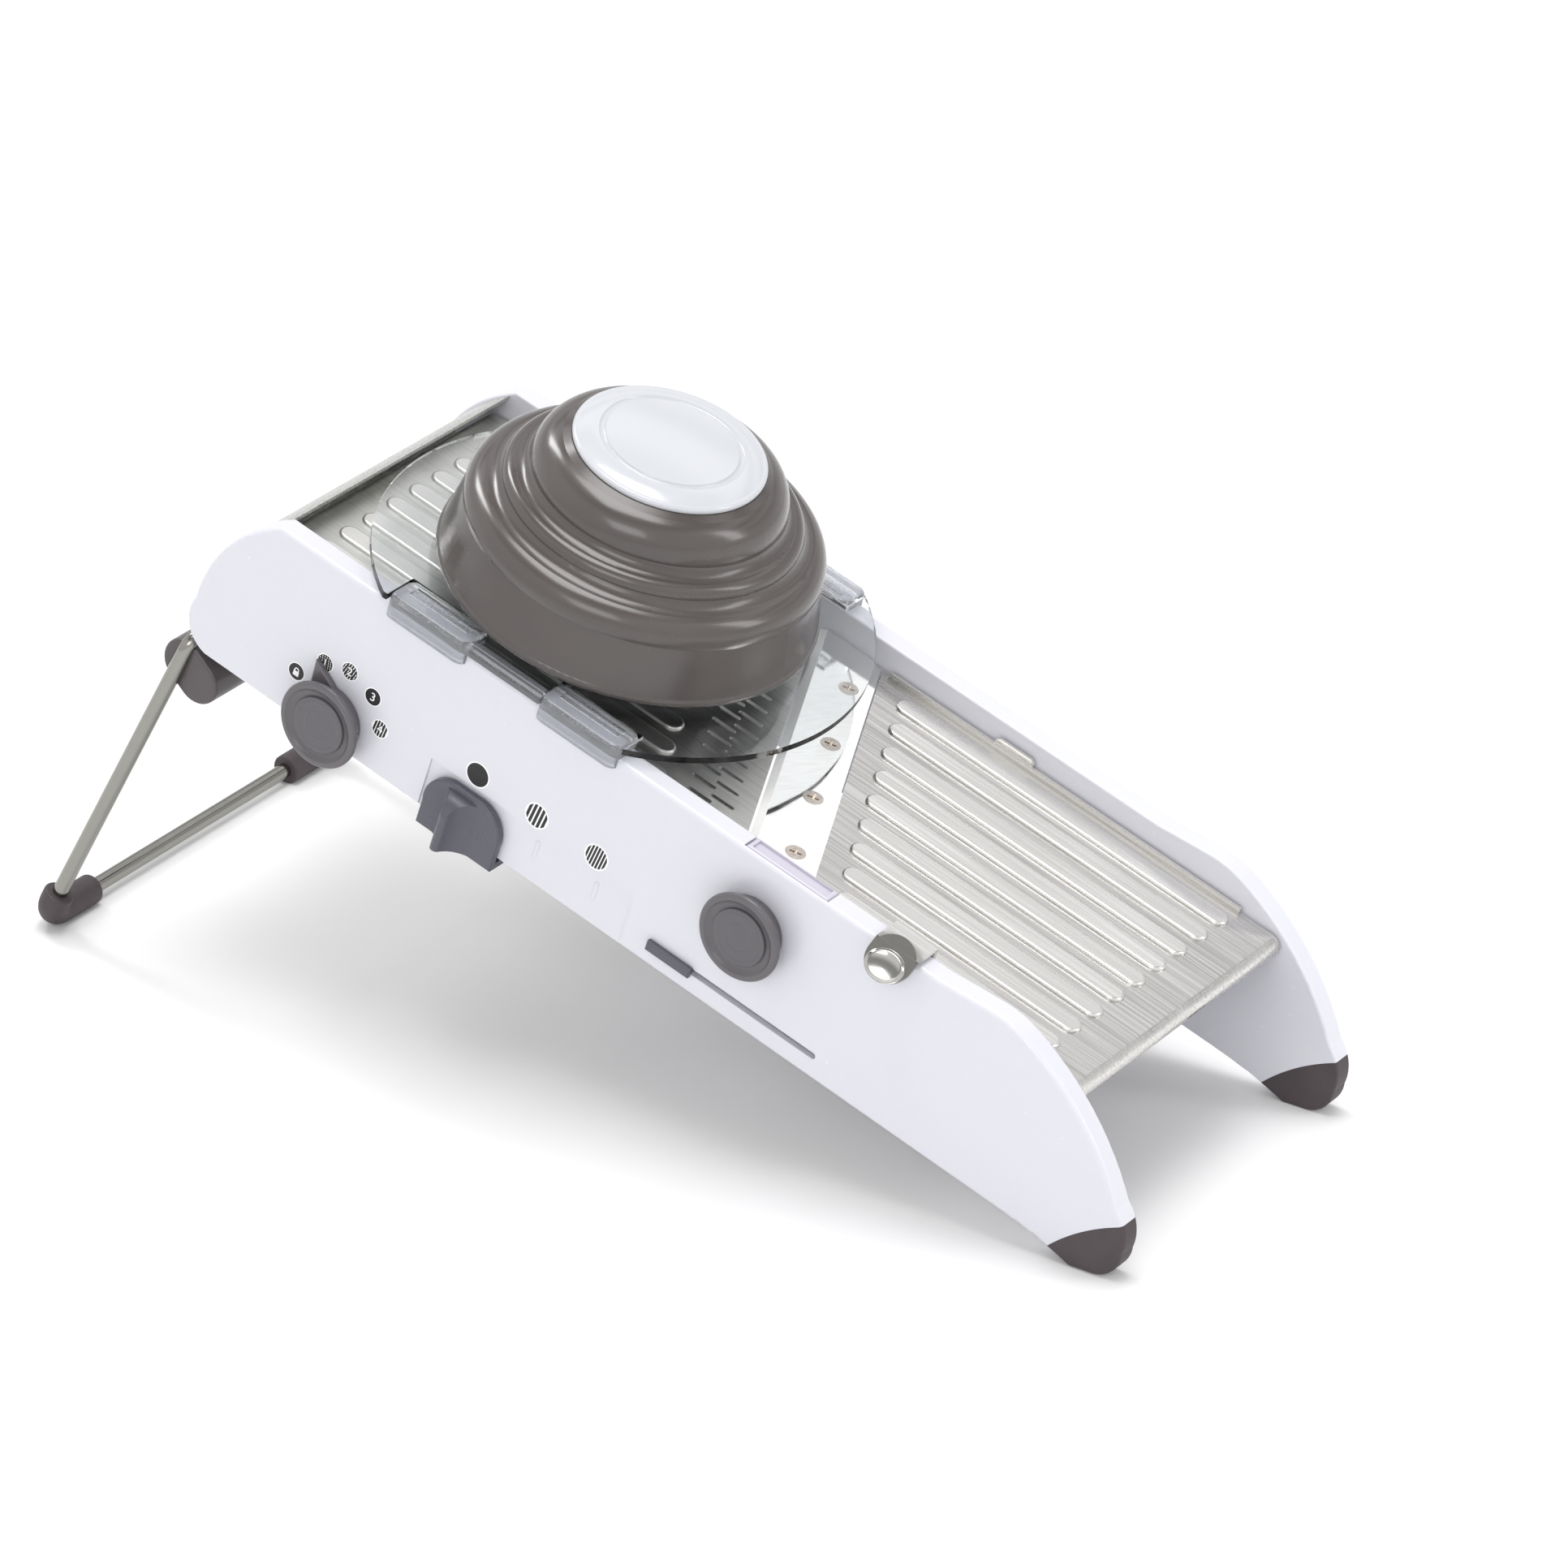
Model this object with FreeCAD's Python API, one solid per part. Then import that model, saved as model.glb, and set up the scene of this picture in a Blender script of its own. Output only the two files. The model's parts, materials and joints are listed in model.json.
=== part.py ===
import FreeCAD, Part
import math
import os

from FreeCAD import Vector

# Mandoline slicer, modelled in the deck frame and set down on its feet at the end.
# Deck frame (mm): u runs forward to the front feet, v from the near side to the far side,
# w is square to the deck. The front feet touch the table at u = 0, w = 0.

# ---- driving dimensions ----
LEAN = 18.6            # slope of the deck on the table, degrees
WIDTH = 147.5          # over both side walls
WALL = 9.0             # a side wall, skin to skin
SKIN = 2.4             # moulded thickness
TOP = 69.0             # top edge of the side walls
RAMP_TOP = 56.7        # food ramp at slice setting 1
BLADE_TOP = 58.5
TRAY_TOP = 58.1
SHEET = 1.2            # stainless sheet
SKEW = 0.466           # the blade runs back this much per mm across
BLADE_U = -178.2       # cutting edge at the near wall
BLADE_DEPTH = 28.2
RIB_PITCH = 13.4
RIB_WIDTH = 8.5
RIB_RISE = 1.2
RIB_COUNT = 9
RIB_FIRST = WIDTH / 2 - RIB_PITCH * (RIB_COUNT - 1) / 2
PIN = 2.5              # hinge pins of ramp and tray
FIT = 0.06             # running fit on a radius
SHAFT = 3.0            # dial and knob shafts
DIAL_U, DIAL_W = -343.0, 10.4
DIAL_ANGLE = 119.0     # pointer, from +u toward +w
KNOB_U, KNOB_W = -162.0, 40.6
KNOB_RISE = 8.4
GUARD_U = -285.0
GUARD_W = 71.8            # underside of the guard flange
FLANGE_R = 92.0
CHAMBER_R = 58.0
HUB_U, HUB_W = -405.5, -13.6
HUB_R = 9.2
HUB_HALF = 4.0         # from the hub's centre to each end's centre
HUB_LEAN = -27.0       # long way of the hub, from +u toward +w
AXLE = 4.0
ROD = 2.9              # stand wire radius
CORNER = Vector(-427.3, -9.5, -138.15)   # where the arm's line meets the cross rod's
KNEE = Vector(-408.6, 3.5, -1.0)         # where the arm turns inward at its top
ELBOW_R = 5.7
ELBOW_BEND = 7.0
SELECT_TRAVEL = 52.8
COMB_LIFT = 16.0
MODULE = 1.0
TEETH = 14
RACK_BACK, RACK_AHEAD = 4.1, 12.2   # rack travel to lock and to slice setting 4

INNER = WALL                       # inner face of the near wall
FAR = WIDTH - WALL                 # inner face of the far wall
MID = WIDTH / 2
GAP = 1.2                          # sheet metal to wall
LANE_A = (INNER + GAP, INNER + GAP + SHEET)
LANE_B = (12.0, 14.0)
LANE_C = (15.2, 17.2)
RAMP_HINGE = (-388.0, RAMP_TOP - 4.0)
TRAY_HINGE = (-35.0, TRAY_TOP - 4.6)
V = Vector(0, 1, 0)
W = Vector(0, 0, 1)


# ---- shape helpers ----
def box(u, v, w):
    return Part.makeBox(u[1] - u[0], v[1] - v[0], w[1] - w[0], Vector(u[0], v[0], w[0]))


def rod(u, w, v, radius):
    return Part.makeCylinder(radius, v[1] - v[0], Vector(u, v[0], w), V)


def post(u, v, w, radius):
    return Part.makeCylinder(radius, w[1] - w[0], Vector(u, v, w[0]), W)


def loop(start, *moves):
    """A closed wire in the u-w plane: each move is an end point, or a (via, end) pair for an arc."""
    edges = []
    here = Vector(start[0], 0, start[1])
    first = here
    for move in moves:
        arc = isinstance(move[0], tuple)
        end = move[1] if arc else move
        there = Vector(end[0], 0, end[1])
        if arc:
            via = Vector(move[0][0], 0, move[0][1])
            edges.append(Part.Arc(here, via, there).toShape())
        else:
            edges.append(Part.makeLine(here, there))
        here = there
    if here.distanceToPoint(first) > 1e-6:
        edges.append(Part.makeLine(here, first))
    return Part.Wire(edges)


def prism(wire, v):
    solid = Part.Face(wire).extrude(Vector(0, v[1] - v[0], 0))
    return solid.translated(Vector(0, v[0], 0))


def skewed(points, v):
    """A bar whose u-w section runs back along the blade's skew; u is given at the near wall."""
    face = Part.Face(loop(points[0], *points[1:]))
    run = v[1] - v[0]
    solid = face.extrude(Vector(-SKEW * run, run, 0))
    return solid.translated(Vector(-SKEW * (v[0] - INNER), v[0], 0))


def skew_u(u_near, v):
    return u_near - SKEW * (v - INNER)


def plan(points, w):
    wire = Part.makePolygon([Vector(u, v, w[0]) for u, v in points + points[:1]])
    return Part.Face(wire).extrude(Vector(0, 0, w[1] - w[0]))


def slot(start, end, v, radius):
    """A round-ended slot in the u-w plane, cut along v."""
    a = Vector(start[0], v[0], start[1])
    b = Vector(end[0], v[0], end[1])
    side = (b - a).normalize().cross(V) * radius
    corners = [a + side, b + side, b - side, a - side, a + side]
    body = Part.Face(Part.makePolygon(corners)).extrude(Vector(0, v[1] - v[0], 0))
    return fuse([body, rod(start[0], start[1], v, radius), rod(end[0], end[1], v, radius)])


def fuse(shapes):
    first = shapes[0]
    if len(shapes) > 1:
        first = first.multiFuse(shapes[1:])
    return first.removeSplitter()


def turned(profile, centre, axis):
    """Revolve an (r, h) outline about the axis through the centre; moves as in loop."""
    solid = Part.Face(loop(profile[0], *profile[1:])).revolve(Vector(), W, 360)
    turn = FreeCAD.Rotation(W, axis)
    solid.Placement = FreeCAD.Placement(centre, turn)
    return solid


def mirrored(shape):
    return shape.mirror(Vector(0, MID, 0), V)


def soften(solid, radius, chosen):
    edges = [edge for edge in solid.Edges if chosen(edge)]
    return solid.makeFillet(radius, edges)


def at_v(edge, v):
    box_ = edge.BoundBox
    return abs(box_.YMin - v) < 0.01 and abs(box_.YMax - v) < 0.01


def at_w(edge, w):
    box_ = edge.BoundBox
    return abs(box_.ZMin - w) < 0.01 and abs(box_.ZMax - w) < 0.01


def above_table(shape):
    """Trim what is below the table, which leaves a small flat sole."""
    below = Part.makeBox(900, 400, 100, Vector(-800, -120, -100))
    below.rotate(Vector(), V, -LEAN)
    return shape.cut(below)


def rib(u0, u1, v, w):
    """A pressed rib: a round-ended bar with softened top edges."""
    r = RIB_WIDTH / 2
    bar = box((u0 + r, u1 - r), (v - r, v + r), (w, w + RIB_RISE))
    ends = [post(u, v, (w, w + RIB_RISE), r) for u in (u0 + r, u1 - r)]
    return soften(fuse([bar] + ends), RIB_RISE * 0.92, lambda e: at_w(e, w + RIB_RISE))


# ---- side walls: hollow mouldings open at the bottom, with rubber front feet ----
SOLE = 9.0
SOLE_DROP = SOLE * math.tan(math.radians(LEAN))


def wall_outline():
    return loop(
        (-400, 0), (-40, 0), ((-22, -1.0), (-SOLE, -SOLE_DROP)), (0, 0), ((6.0, 5.0), (7.6, 14)),
        ((5.6, 23.5), (0, 30)), ((-25, 55), (-54, 69.6)), ((-62, 71.1), (-70, 70.9)),
        ((-78, 70.2), (-90, TOP)), (-384, TOP), ((-403, 48), (-410, 20)), ((-408, 5), (-400, 0)))


def wall_core():
    """The space between the two skins, open downward."""
    return loop(
        (-398, -6), (-36, -6), (-30, 6), (-6, 8), ((-30, 48), (-56, 66)), (-86, TOP - SKIN),
        (-383, TOP - SKIN), ((-400, 46), (-407, 20)), ((-405, 8), (-398, 2)))


def foot_zone():
    return loop((-24, -12), ((-9, 13), (8, 28)), (30, 28), (30, -12))


def solid_wall():
    wall = prism(wall_outline(), (0, WALL))
    wall = soften(wall, 1.8, lambda e: at_v(e, 0))
    return soften(wall, 0.9, lambda e: at_v(e, WALL))


def side_wall():
    wall = solid_wall().cut(prism(foot_zone(), (-5, WALL + 5)))
    core = prism(wall_core(), (SKIN, WALL - SKIN))
    webs = [box((u, u + 1.6), (SKIN, WALL - SKIN), (-8, TOP)) for u in range(-376, -40, 47)]
    wall = wall.cut(core.cut(Part.makeCompound(webs)))
    holes = [rod(u, w, (SKIN + 2, WALL + 1), PIN + FIT) for u, w in (RAMP_HINGE, TRAY_HINGE)]
    guide = rod(RACK_GUIDE[0], RACK_GUIDE[1], (INNER, LANE_B[1] + 0.4), 1.6)
    ledge = box((-140, -62), (INNER, INNER + 2.4), (51, TRAY_TOP - SHEET - 0.4))
    return fuse([wall.cut(Part.makeCompound(holes)), guide, ledge])


RACK_GUIDE = (-298.0, 23.0)
CATCH_SLOT = ((-196.5, 9.2), (-124.5, 9.2))
SELECT_PANEL = box((-300, -208), (-1, 0.7), (-6, 21.5))


def near_side_wall():
    cuts = [
        rod(DIAL_U, DIAL_W, (-1, WALL + 1), SHAFT + FIT),
        rod(KNOB_U, KNOB_W, (-1, WALL + 1), SHAFT + FIT),
        slot(CATCH_SLOT[0], CATCH_SLOT[1], (-1, WALL + 1), 1.3),
        box((-175.4, -138.6), (1.2, WALL + 1), (58, TOP + 5)),
        SELECT_PANEL,
    ]
    return side_wall().cut(Part.makeCompound(cuts[:3])).cut(cuts[3]).cut(cuts[4])


def far_side_wall():
    bore = rod(DIAL_U, DIAL_W, (FAR - 1, FAR + 4), SHAFT + FIT)
    return mirrored(side_wall()).cut(bore)


def front_foot():
    foot = solid_wall().common(prism(foot_zone(), (-5, WALL + 5)))
    return above_table(foot)


# ---- fixed inner frame ----
def rear_cover():
    sheet = loop(
        (-386, 66.4), ((-401.6, 47), (-408.2, 20)), ((-406.6, 7), (-399, 2)), (-398, 3.2),
        ((-405, 8.4), (-406.8, 20)), ((-400.2, 46), (-386, 64.8)))
    return prism(sheet, (INNER, FAR))


EAR_V = (28.0, 30.5)


def stand_bracket():
    plate = box((-401, -375), (INNER, FAR), (0.4, 2.0))
    ear = prism(loop((HUB_U - 10, HUB_W), ((HUB_U, HUB_W - 10), (HUB_U + 10, HUB_W)), (-382, 0.4),
                     (-400, 0.4)), EAR_V)
    ear = ear.cut(rod(HUB_U, HUB_W, (20, 40), AXLE + FIT))
    return fuse([plate, ear, mirrored(ear)])


def cross_bar(u, w):
    """A channel that holds the walls apart."""
    bar = box(u, (INNER, FAR), w)
    return bar.cut(box((u[0] + 1.6, u[1] + 1), (INNER + 3, FAR - 3), (w[0] + 1.6, w[1] - 1.6)))


def guide_bridge():
    """The floor strip under the combs, with two posts that keep the comb carrier upright."""
    section = [(-219, 0.5), (-204, 0.5), (-204, 3.0), (-219, 3.0)]
    strip = skewed(section, (INNER, FAR))
    posts = [post(skew_u(POST_U, v), v, (3.0, 46.0), 3.0) for v in POST_V]
    return fuse([strip] + posts)


# ---- blade cassette ----
BED_TOP = BLADE_TOP - 1.6
SCREW_SPOTS = [(-167.5 - 14.1 * n, 26.0 + 30.0 * n) for n in range(4)]


def screw_blank(u, v):
    head = Part.makeCone(2.0, 3.8, 2.0, Vector(u, v, BLADE_TOP - 2.0), W)
    return fuse([head, post(u, v, (BLADE_TOP - 6.0, BLADE_TOP - 2.0), 2.0)])


def blade_screw(u, v):
    """A countersunk screw with a cross recess."""
    blank = screw_blank(u, v)
    for angle in (20, 110):
        bar = box((-2.2, 2.2), (-0.45, 0.45), (BLADE_TOP - 1.1, BLADE_TOP + 1))
        bar.rotate(Vector(), W, angle)
        blank = blank.cut(bar.translated(Vector(u, v, 0)))
    return blank


def screw_holes():
    return Part.makeCompound([screw_blank(u, v) for u, v in SCREW_SPOTS])


def blade_plate():
    back = BLADE_U + BLADE_DEPTH
    section = [(BLADE_U, BED_TOP + 0.1), (BLADE_U, BED_TOP), (back, BED_TOP), (back, BLADE_TOP),
               (BLADE_U + 3.2, BLADE_TOP)]
    return skewed(section, (INNER + GAP, FAR - GAP)).cut(screw_holes())


def blade_bed():
    """A wedge under the blade, so that slices are led down."""
    low = BED_TOP - 6.5
    section = [(BLADE_U + 4.5, BED_TOP), (BLADE_U + 19, low), (BLADE_U + 26, low), (BLADE_U + 26, BED_TOP)]
    return skewed(section, (INNER, FAR)).cut(screw_holes())


def cassette_grip():
    grip = box((-175, -139), (1.5, WALL), (58, TOP + 0.1))
    grip = soften(grip, 1.2, lambda e: at_w(e, TOP + 0.1))
    dip = box((-173, -141), (2.9, WALL - 1.2), (TOP - 0.9, TOP + 2))
    return grip.cut(dip)


# ---- lower tray: ribbed sheet with a rolled front edge ----
TAB_U = -107.5
TAB_DROOP = 38.0       # the thumb end slopes down outside the wall
SIDE_LIP = 2.2         # the sheet's long edges are turned up by this much


def tray_plate():
    back = BLADE_U + BLADE_DEPTH + 0.6
    low, high = TRAY_TOP - SHEET, TRAY_TOP
    edges = LANE_A[0], WIDTH - LANE_A[0]
    hinge_u, hinge_w = TRAY_HINGE
    sheet = plan([(skew_u(back, edges[0]), edges[0]), (hinge_u, edges[0]), (hinge_u, edges[1]),
                  (skew_u(back, edges[1]), edges[1])], (low, high))
    roll = rod(hinge_u, hinge_w, edges, 4.6)
    ribs = []
    for n in range(RIB_COUNT):
        v = RIB_FIRST + n * RIB_PITCH
        ribs.append(rib(skew_u(back, v) + 9.5, -48.5, v, high))
    riser = box((TAB_U - 9, TAB_U + 9), (edges[0] - 0.7, edges[0] + SHEET), (low, TOP + 2.3))
    lip = box((TAB_U - 9, TAB_U + 9), (-1, edges[0] + SHEET), (TOP + 1.3, TOP + 2.3))
    thumb = fuse([box((-9, 9), (-4, 0), (0, 1)), post(0, -4, (0, 1), 9)])
    thumb.rotate(Vector(), Vector(1, 0, 0), TAB_DROOP)
    thumb.translate(Vector(TAB_U, -0.6, TOP + 1.3))
    side_lips = [box((skew_u(back, v) + 3, -49), (v, v + SHEET), (low, high + SIDE_LIP))
                 for v in (edges[0], edges[1] - SHEET)]
    flap = box((-158.5, -141.5), (edges[1] - SHEET, edges[1]), (low, high + SIDE_LIP + 3.0))
    flap = soften(flap, 2.2, lambda e: e.Length < 1.01 * SHEET and at_w(e, high + SIDE_LIP + 3.0))
    tray = fuse([sheet, roll, riser, lip, thumb, flap] + side_lips + ribs)
    return tray.cut(rod(hinge_u, hinge_w, (0, WIDTH), PIN))


# ---- food ramp: hinged at the rear, lowered by the thickness racks ----
RAMP_PIN = (-325.0, 24.0)
RAMP_LEVER = RAMP_PIN[0] - RAMP_HINGE[0]
TILT_PER_MM = math.radians(0.56) / (MODULE * TEETH / 2 * math.radians(33))
ROW_A, ROW_B = BLADE_U - 19.3, BLADE_U - 28.3
TOOTH_A = [20.75 + 7.5 * n for n in range(14)]
TOOTH_B = [24.5 + 7.5 * n for n in range(13)]


def comb_slots(row, spots):
    cuts = []
    for v in spots:
        u = skew_u(row, v)
        body = box((u + 0.9, u + 9.6), (v - 0.9, v + 0.9), (RAMP_TOP - 4, RAMP_TOP + 4))
        ends = [post(x, v, (RAMP_TOP - 4, RAMP_TOP + 4), 0.9) for x in (u + 0.9, u + 9.6)]
        cuts.append(fuse([body] + ends))
    return Part.makeCompound(cuts)


def ramp_flange(front):
    u0 = RAMP_HINGE[0]
    skirt = box((u0, front), LANE_A, (48, RAMP_TOP - SHEET / 2))
    tab = box((RAMP_PIN[0] - 6, RAMP_PIN[0] + 6), LANE_A, (19, 48))
    pin = rod(RAMP_PIN[0], RAMP_PIN[1], (LANE_A[0], LANE_B[1] + 0.4), 1.6)
    return fuse([skirt, tab, pin])


def ramp_plate():
    front = BLADE_U - 0.9
    edges = LANE_A[0], WIDTH - LANE_A[0]
    u0, w0 = RAMP_HINGE
    sheet = plan([(u0, edges[0]), (skew_u(front, edges[0]), edges[0]),
                  (skew_u(front, edges[1]), edges[1]), (u0, edges[1])],
                 (RAMP_TOP - SHEET, RAMP_TOP))
    ribs = []
    for n in range(RIB_COUNT):
        v = RIB_FIRST + n * RIB_PITCH
        ribs.append(rib(-379, skew_u(-216, v), v, RAMP_TOP))
    far_flange = mirrored(ramp_flange(skew_u(front, FAR) - 2))
    ramp = fuse([sheet, rod(u0, w0, edges, 4.0), ramp_flange(front - 2), far_flange] + ribs)
    for row, spots in ((ROW_A, TOOTH_A), (ROW_B, TOOTH_B)):
        ramp = ramp.cut(comb_slots(row, spots))
    return ramp.cut(rod(u0, w0, (0, WIDTH), PIN + FIT))


# ---- thickness drive: dial, shaft, two pinions and two racks ----
def knob_body(u, w):
    """A round knob, narrower at its base, with a grooved face."""
    h = KNOB_RISE
    profile = [(SHAFT, 0.4), (13.2, 0.4), ((13.8, 3.0), (15.6, 5.6)), ((16.6, 7.4), (15.4, h)),
               (14.2, h), ((13.2, h - 0.9), (11.0, h - 1.4)), (SHAFT, h - 1.4)]
    return turned(profile, Vector(u, 0, w), Vector(0, -1, 0))


def knob_cap(u, w):
    h = KNOB_RISE
    profile = [(0, h - 1.4), (10.8, h - 1.4), ((10.9, h - 0.6), (10.2, h - 0.3)), (0, h - 0.3)]
    return turned(profile, Vector(u, 0, w), Vector(0, -1, 0))


def thickness_dial():
    pointer = prism(loop((6, -9), (23, 0), (6, 9)), (-2.6, -0.4))
    pointer = soften(pointer, 0.8, lambda e: at_v(e, -2.6))
    pointer.rotate(Vector(), V, -DIAL_ANGLE)
    pointer.translate(Vector(DIAL_U, 0, DIAL_W))
    return fuse([knob_body(DIAL_U, DIAL_W), pointer.cut(rod(DIAL_U, DIAL_W, (-9, 1), SHAFT))])


# a pinion tooth as (height over the pitch circle, half angle) down one side and up the other
TOOTH_EDGE = ((-1.15, -0.20), (0, -0.088), (0.7, -0.042), (0.7, 0.042), (0, 0.088), (-1.15, 0.20))


def dial_pinion():
    pitch_r = MODULE * TEETH / 2
    points = []
    for n in range(TEETH):
        middle = math.pi / 2 + 2 * math.pi * n / TEETH
        for r, half in TOOTH_EDGE:
            a = middle + half
            points.append((DIAL_U + (pitch_r + r) * math.cos(a), DIAL_W + (pitch_r + r) * math.sin(a)))
    gear = prism(loop(points[0], *points[1:]), LANE_B)
    return gear.cut(rod(DIAL_U, DIAL_W, (0, WIDTH), SHAFT))


def rack_slot_end(s):
    """Where the ramp pin lies in the rack's own frame when the rack has moved by s."""
    tilt = TILT_PER_MM * s
    below = RAMP_PIN[1] - RAMP_HINGE[1]
    return (RAMP_PIN[0] + tilt * below - s, RAMP_PIN[1] - tilt * RAMP_LEVER)


def thickness_rack():
    """A slide bar: rack teeth below, a sloped slot for the ramp pin, a level slot for its guide."""
    line = DIAL_W + MODULE * TEETH / 2
    bar = box((-366, -289), LANE_B, (line + 1.1, 28))
    pitch = math.pi * MODULE
    shapes = [bar]
    for n in range(-7, 5):
        c = DIAL_U + (n + 0.5) * pitch
        tooth = loop((c - 0.33, line - 0.7), (c + 0.33, line - 0.7), (c + 1.0, line + 1.2), (c - 1.0, line + 1.2))
        shapes.append(prism(tooth, LANE_B))
    ends = [rack_slot_end(s) for s in (RACK_AHEAD + 0.4, -RACK_BACK - 0.4)]
    sloped = slot(ends[0], ends[1], (11, 15), 1.85)
    u, w = RACK_GUIDE
    level = slot((u - RACK_AHEAD - 0.4, w), (u + RACK_BACK + 0.4, w), (11, 15), 1.7)
    return fuse(shapes).cut(sloped).cut(level)


# ---- julienne drive: selector, slide frame, comb carrier and two combs ----
COMB_U = -202.0
POST_U = -211.5
POST_V = (40.0, 105.0)
CARRIER_W = (22.0, 29.0)
PIN_W = 25.5


def julienne_selector():
    """A D-shaped plate with a scooped thumb ridge, wrapped under the wall."""
    plate = prism(loop((-297.5, -4.4), (-263.5, -4.4), (-263.5, 6), ((-267.5, 17), (-277, 20)),
                       (-286, 20), ((-294, 17), (-297.5, 6))), (-3.0, -0.3))
    plate = soften(plate, 0.9, lambda e: at_v(e, -3.0))
    wrap = box((-297.5, -263.5), (-1.2, LANE_C[1]), (-4.4, -1.6))
    return fuse([plate, wrap, thumb_ridge()])


def thumb_ridge():
    """A fin that stands out of the plate, hollowed steeply behind and gently ahead, with an arched top."""
    def arc(start, via, end):
        return Part.Arc(*[Vector(u, v, -4.4) for u, v in (start, via, end)]).toShape()

    def line(start, end):
        return Part.makeLine(*[Vector(u, v, -4.4) for u, v in (start, end)])

    rear, crest_rear, crest_ahead, ahead = (-290.5, -2.4), (-285.6, -9.0), (-281.6, -9.2), (-267.5, -2.4)
    hollow = Part.Wire([arc(rear, (-286.8, -4.6), crest_rear), arc(crest_rear, (-283.8, -10.6), crest_ahead),
                        arc(crest_ahead, (-278.4, -4.9), ahead), line(ahead, (-267.5, -1.5)),
                        line((-267.5, -1.5), (-290.5, -1.5)), line((-290.5, -1.5), rear)])
    fin = Part.Face(hollow).extrude(Vector(0, 0, 24))
    arch = Part.Wire([
        Part.makeLine(Vector(-300, -1.0, -4.4), Vector(-300, -11.0, -4.4)),
        Part.makeLine(Vector(-300, -11.0, -4.4), Vector(-300, -11.0, 7.0)),
        Part.Arc(Vector(-300, -11.0, 7.0), Vector(-300, -8.6, 14.4), Vector(-300, -1.0, 17.6)).toShape(),
        Part.makeLine(Vector(-300, -1.0, 17.6), Vector(-300, -1.0, -4.4))])
    return fin.common(Part.Face(arch).extrude(Vector(40, 0, 0)))


def frame_cheek(pin_u, lane):
    rail = box((-320, pin_u + 7), lane, (3.4, 14))
    plate = box((pin_u - SELECT_TRAVEL - 6, pin_u + 7), lane, (14, 46))
    cheek = fuse([rail, plate])
    track = slot((pin_u, PIN_W), (pin_u - SELECT_TRAVEL, PIN_W + COMB_LIFT), (lane[0] - 1, lane[1] + 1), 1.75)
    return cheek.cut(track)


def julienne_slide_frame():
    near_lane, far_lane = LANE_C, (WIDTH - LANE_C[1], WIDTH - LANE_C[0])
    near = frame_cheek(skew_u(COMB_U, near_lane[0]), near_lane)
    far = frame_cheek(skew_u(COMB_U, far_lane[1]), far_lane)
    tie = box((-320, -314), (near_lane[1], far_lane[0]), (3.4, 14))
    foot = box((-297, -277), near_lane, (-1.6, 3.4))
    return fuse([near, far, tie, foot])


def comb_carrier():
    """A skewed bar that rides up two posts; a pin at each end runs in the slide frame."""
    section = [(-217, CARRIER_W[0]), (-188, CARRIER_W[0]), (-188, CARRIER_W[1]), (-217, CARRIER_W[1])]
    span = (LANE_C[1] + 1, WIDTH - LANE_C[1] - 1)
    bar = skewed(section, span)
    near_u = skew_u(COMB_U, LANE_C[0])
    far_u = skew_u(COMB_U, WIDTH - LANE_C[0])
    pins = [rod(near_u, PIN_W, (LANE_C[0] - 0.4, span[0] + 4), 1.6),
            rod(far_u, PIN_W, (span[1] - 4, WIDTH - LANE_C[0] + 0.4), 1.6)]
    bores = [post(skew_u(POST_U, v), v, (0, 60), 3.0 + FIT) for v in POST_V]
    return fuse([bar] + pins).cut(Part.makeCompound(bores))


def comb(row, spots, tip):
    """A row of thin upright blades on a foot bar."""
    low = CARRIER_W[1]
    section = [(row + 1.5, low), (row + 9, low), (row + 9, low + 2), (row + 1.5, low + 2)]
    shapes = [skewed(section, (LANE_C[1] + 1, WIDTH - LANE_C[1] - 4))]
    for v in spots:
        u = skew_u(row, v)
        blade = loop((u + 1.5, low + 1), (u + 9, low + 1), (u + 9, tip - 1), (u + 7, tip), (u + 1.5, tip - 4))
        shapes.append(prism(blade, (v - 0.4, v + 0.4)))
    return fuse(shapes)


# ---- blade lock and slide catch ----
def lock_cam():
    lobe = prism(loop((-5, 0), (5, 0), (4, 6), ((0, 8.6), (-4, 6))), (10, 14))
    disc = Part.makeCylinder(5.4, 4, Vector(0, 10, 0), V)
    cam = fuse([lobe, disc]).translated(Vector(KNOB_U, 0, KNOB_W))
    return cam.cut(rod(KNOB_U, KNOB_W, (0, 20), SHAFT))


def catch_slider():
    u, w = CATCH_SLOT[0]
    neck = box((u + 0.2, u + 18), (-0.4, INNER + 0.4), (w - 1.0, w + 1.0))
    grip = box((u - 0.6, u + 18.6), (-2.4, -0.4), (w - 2.0, w + 2.0))
    grip = soften(grip, 0.6, lambda e: at_v(e, -2.4))
    return fuse([neck, grip])


def catch_bar():
    u, w = CATCH_SLOT[0]
    return box((u - 1, u + 19), (INNER + 0.4, INNER + 2.4), (w - 4, w + 4))


# ---- food guard and pusher ----
RUNNERS_U = ((-334.0, -298.0), (-266.0, -230.0))
RUNNER_TOP = 75.0


def runner_block(u):
    """A rounded bar over the wall top, with a lip down the outside of the wall."""
    height = TOP - 3.2, RUNNER_TOP
    ends = [post(spot, v, height, 4) for spot in (u[0] + 4, u[1] - 4) for v in (1, 8)]
    bar = fuse(ends + [box((u[0] + 4, u[1] - 4), (-3, 12), height), box(u, (1, 8), height)])
    bar = soften(bar, 2.2, lambda e: at_w(e, RUNNER_TOP))
    return bar.cut(box((u[0] + 5, u[1] - 5), (3.2, 8.4), (RUNNER_TOP - 0.8, RUNNER_TOP + 1)))


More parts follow.
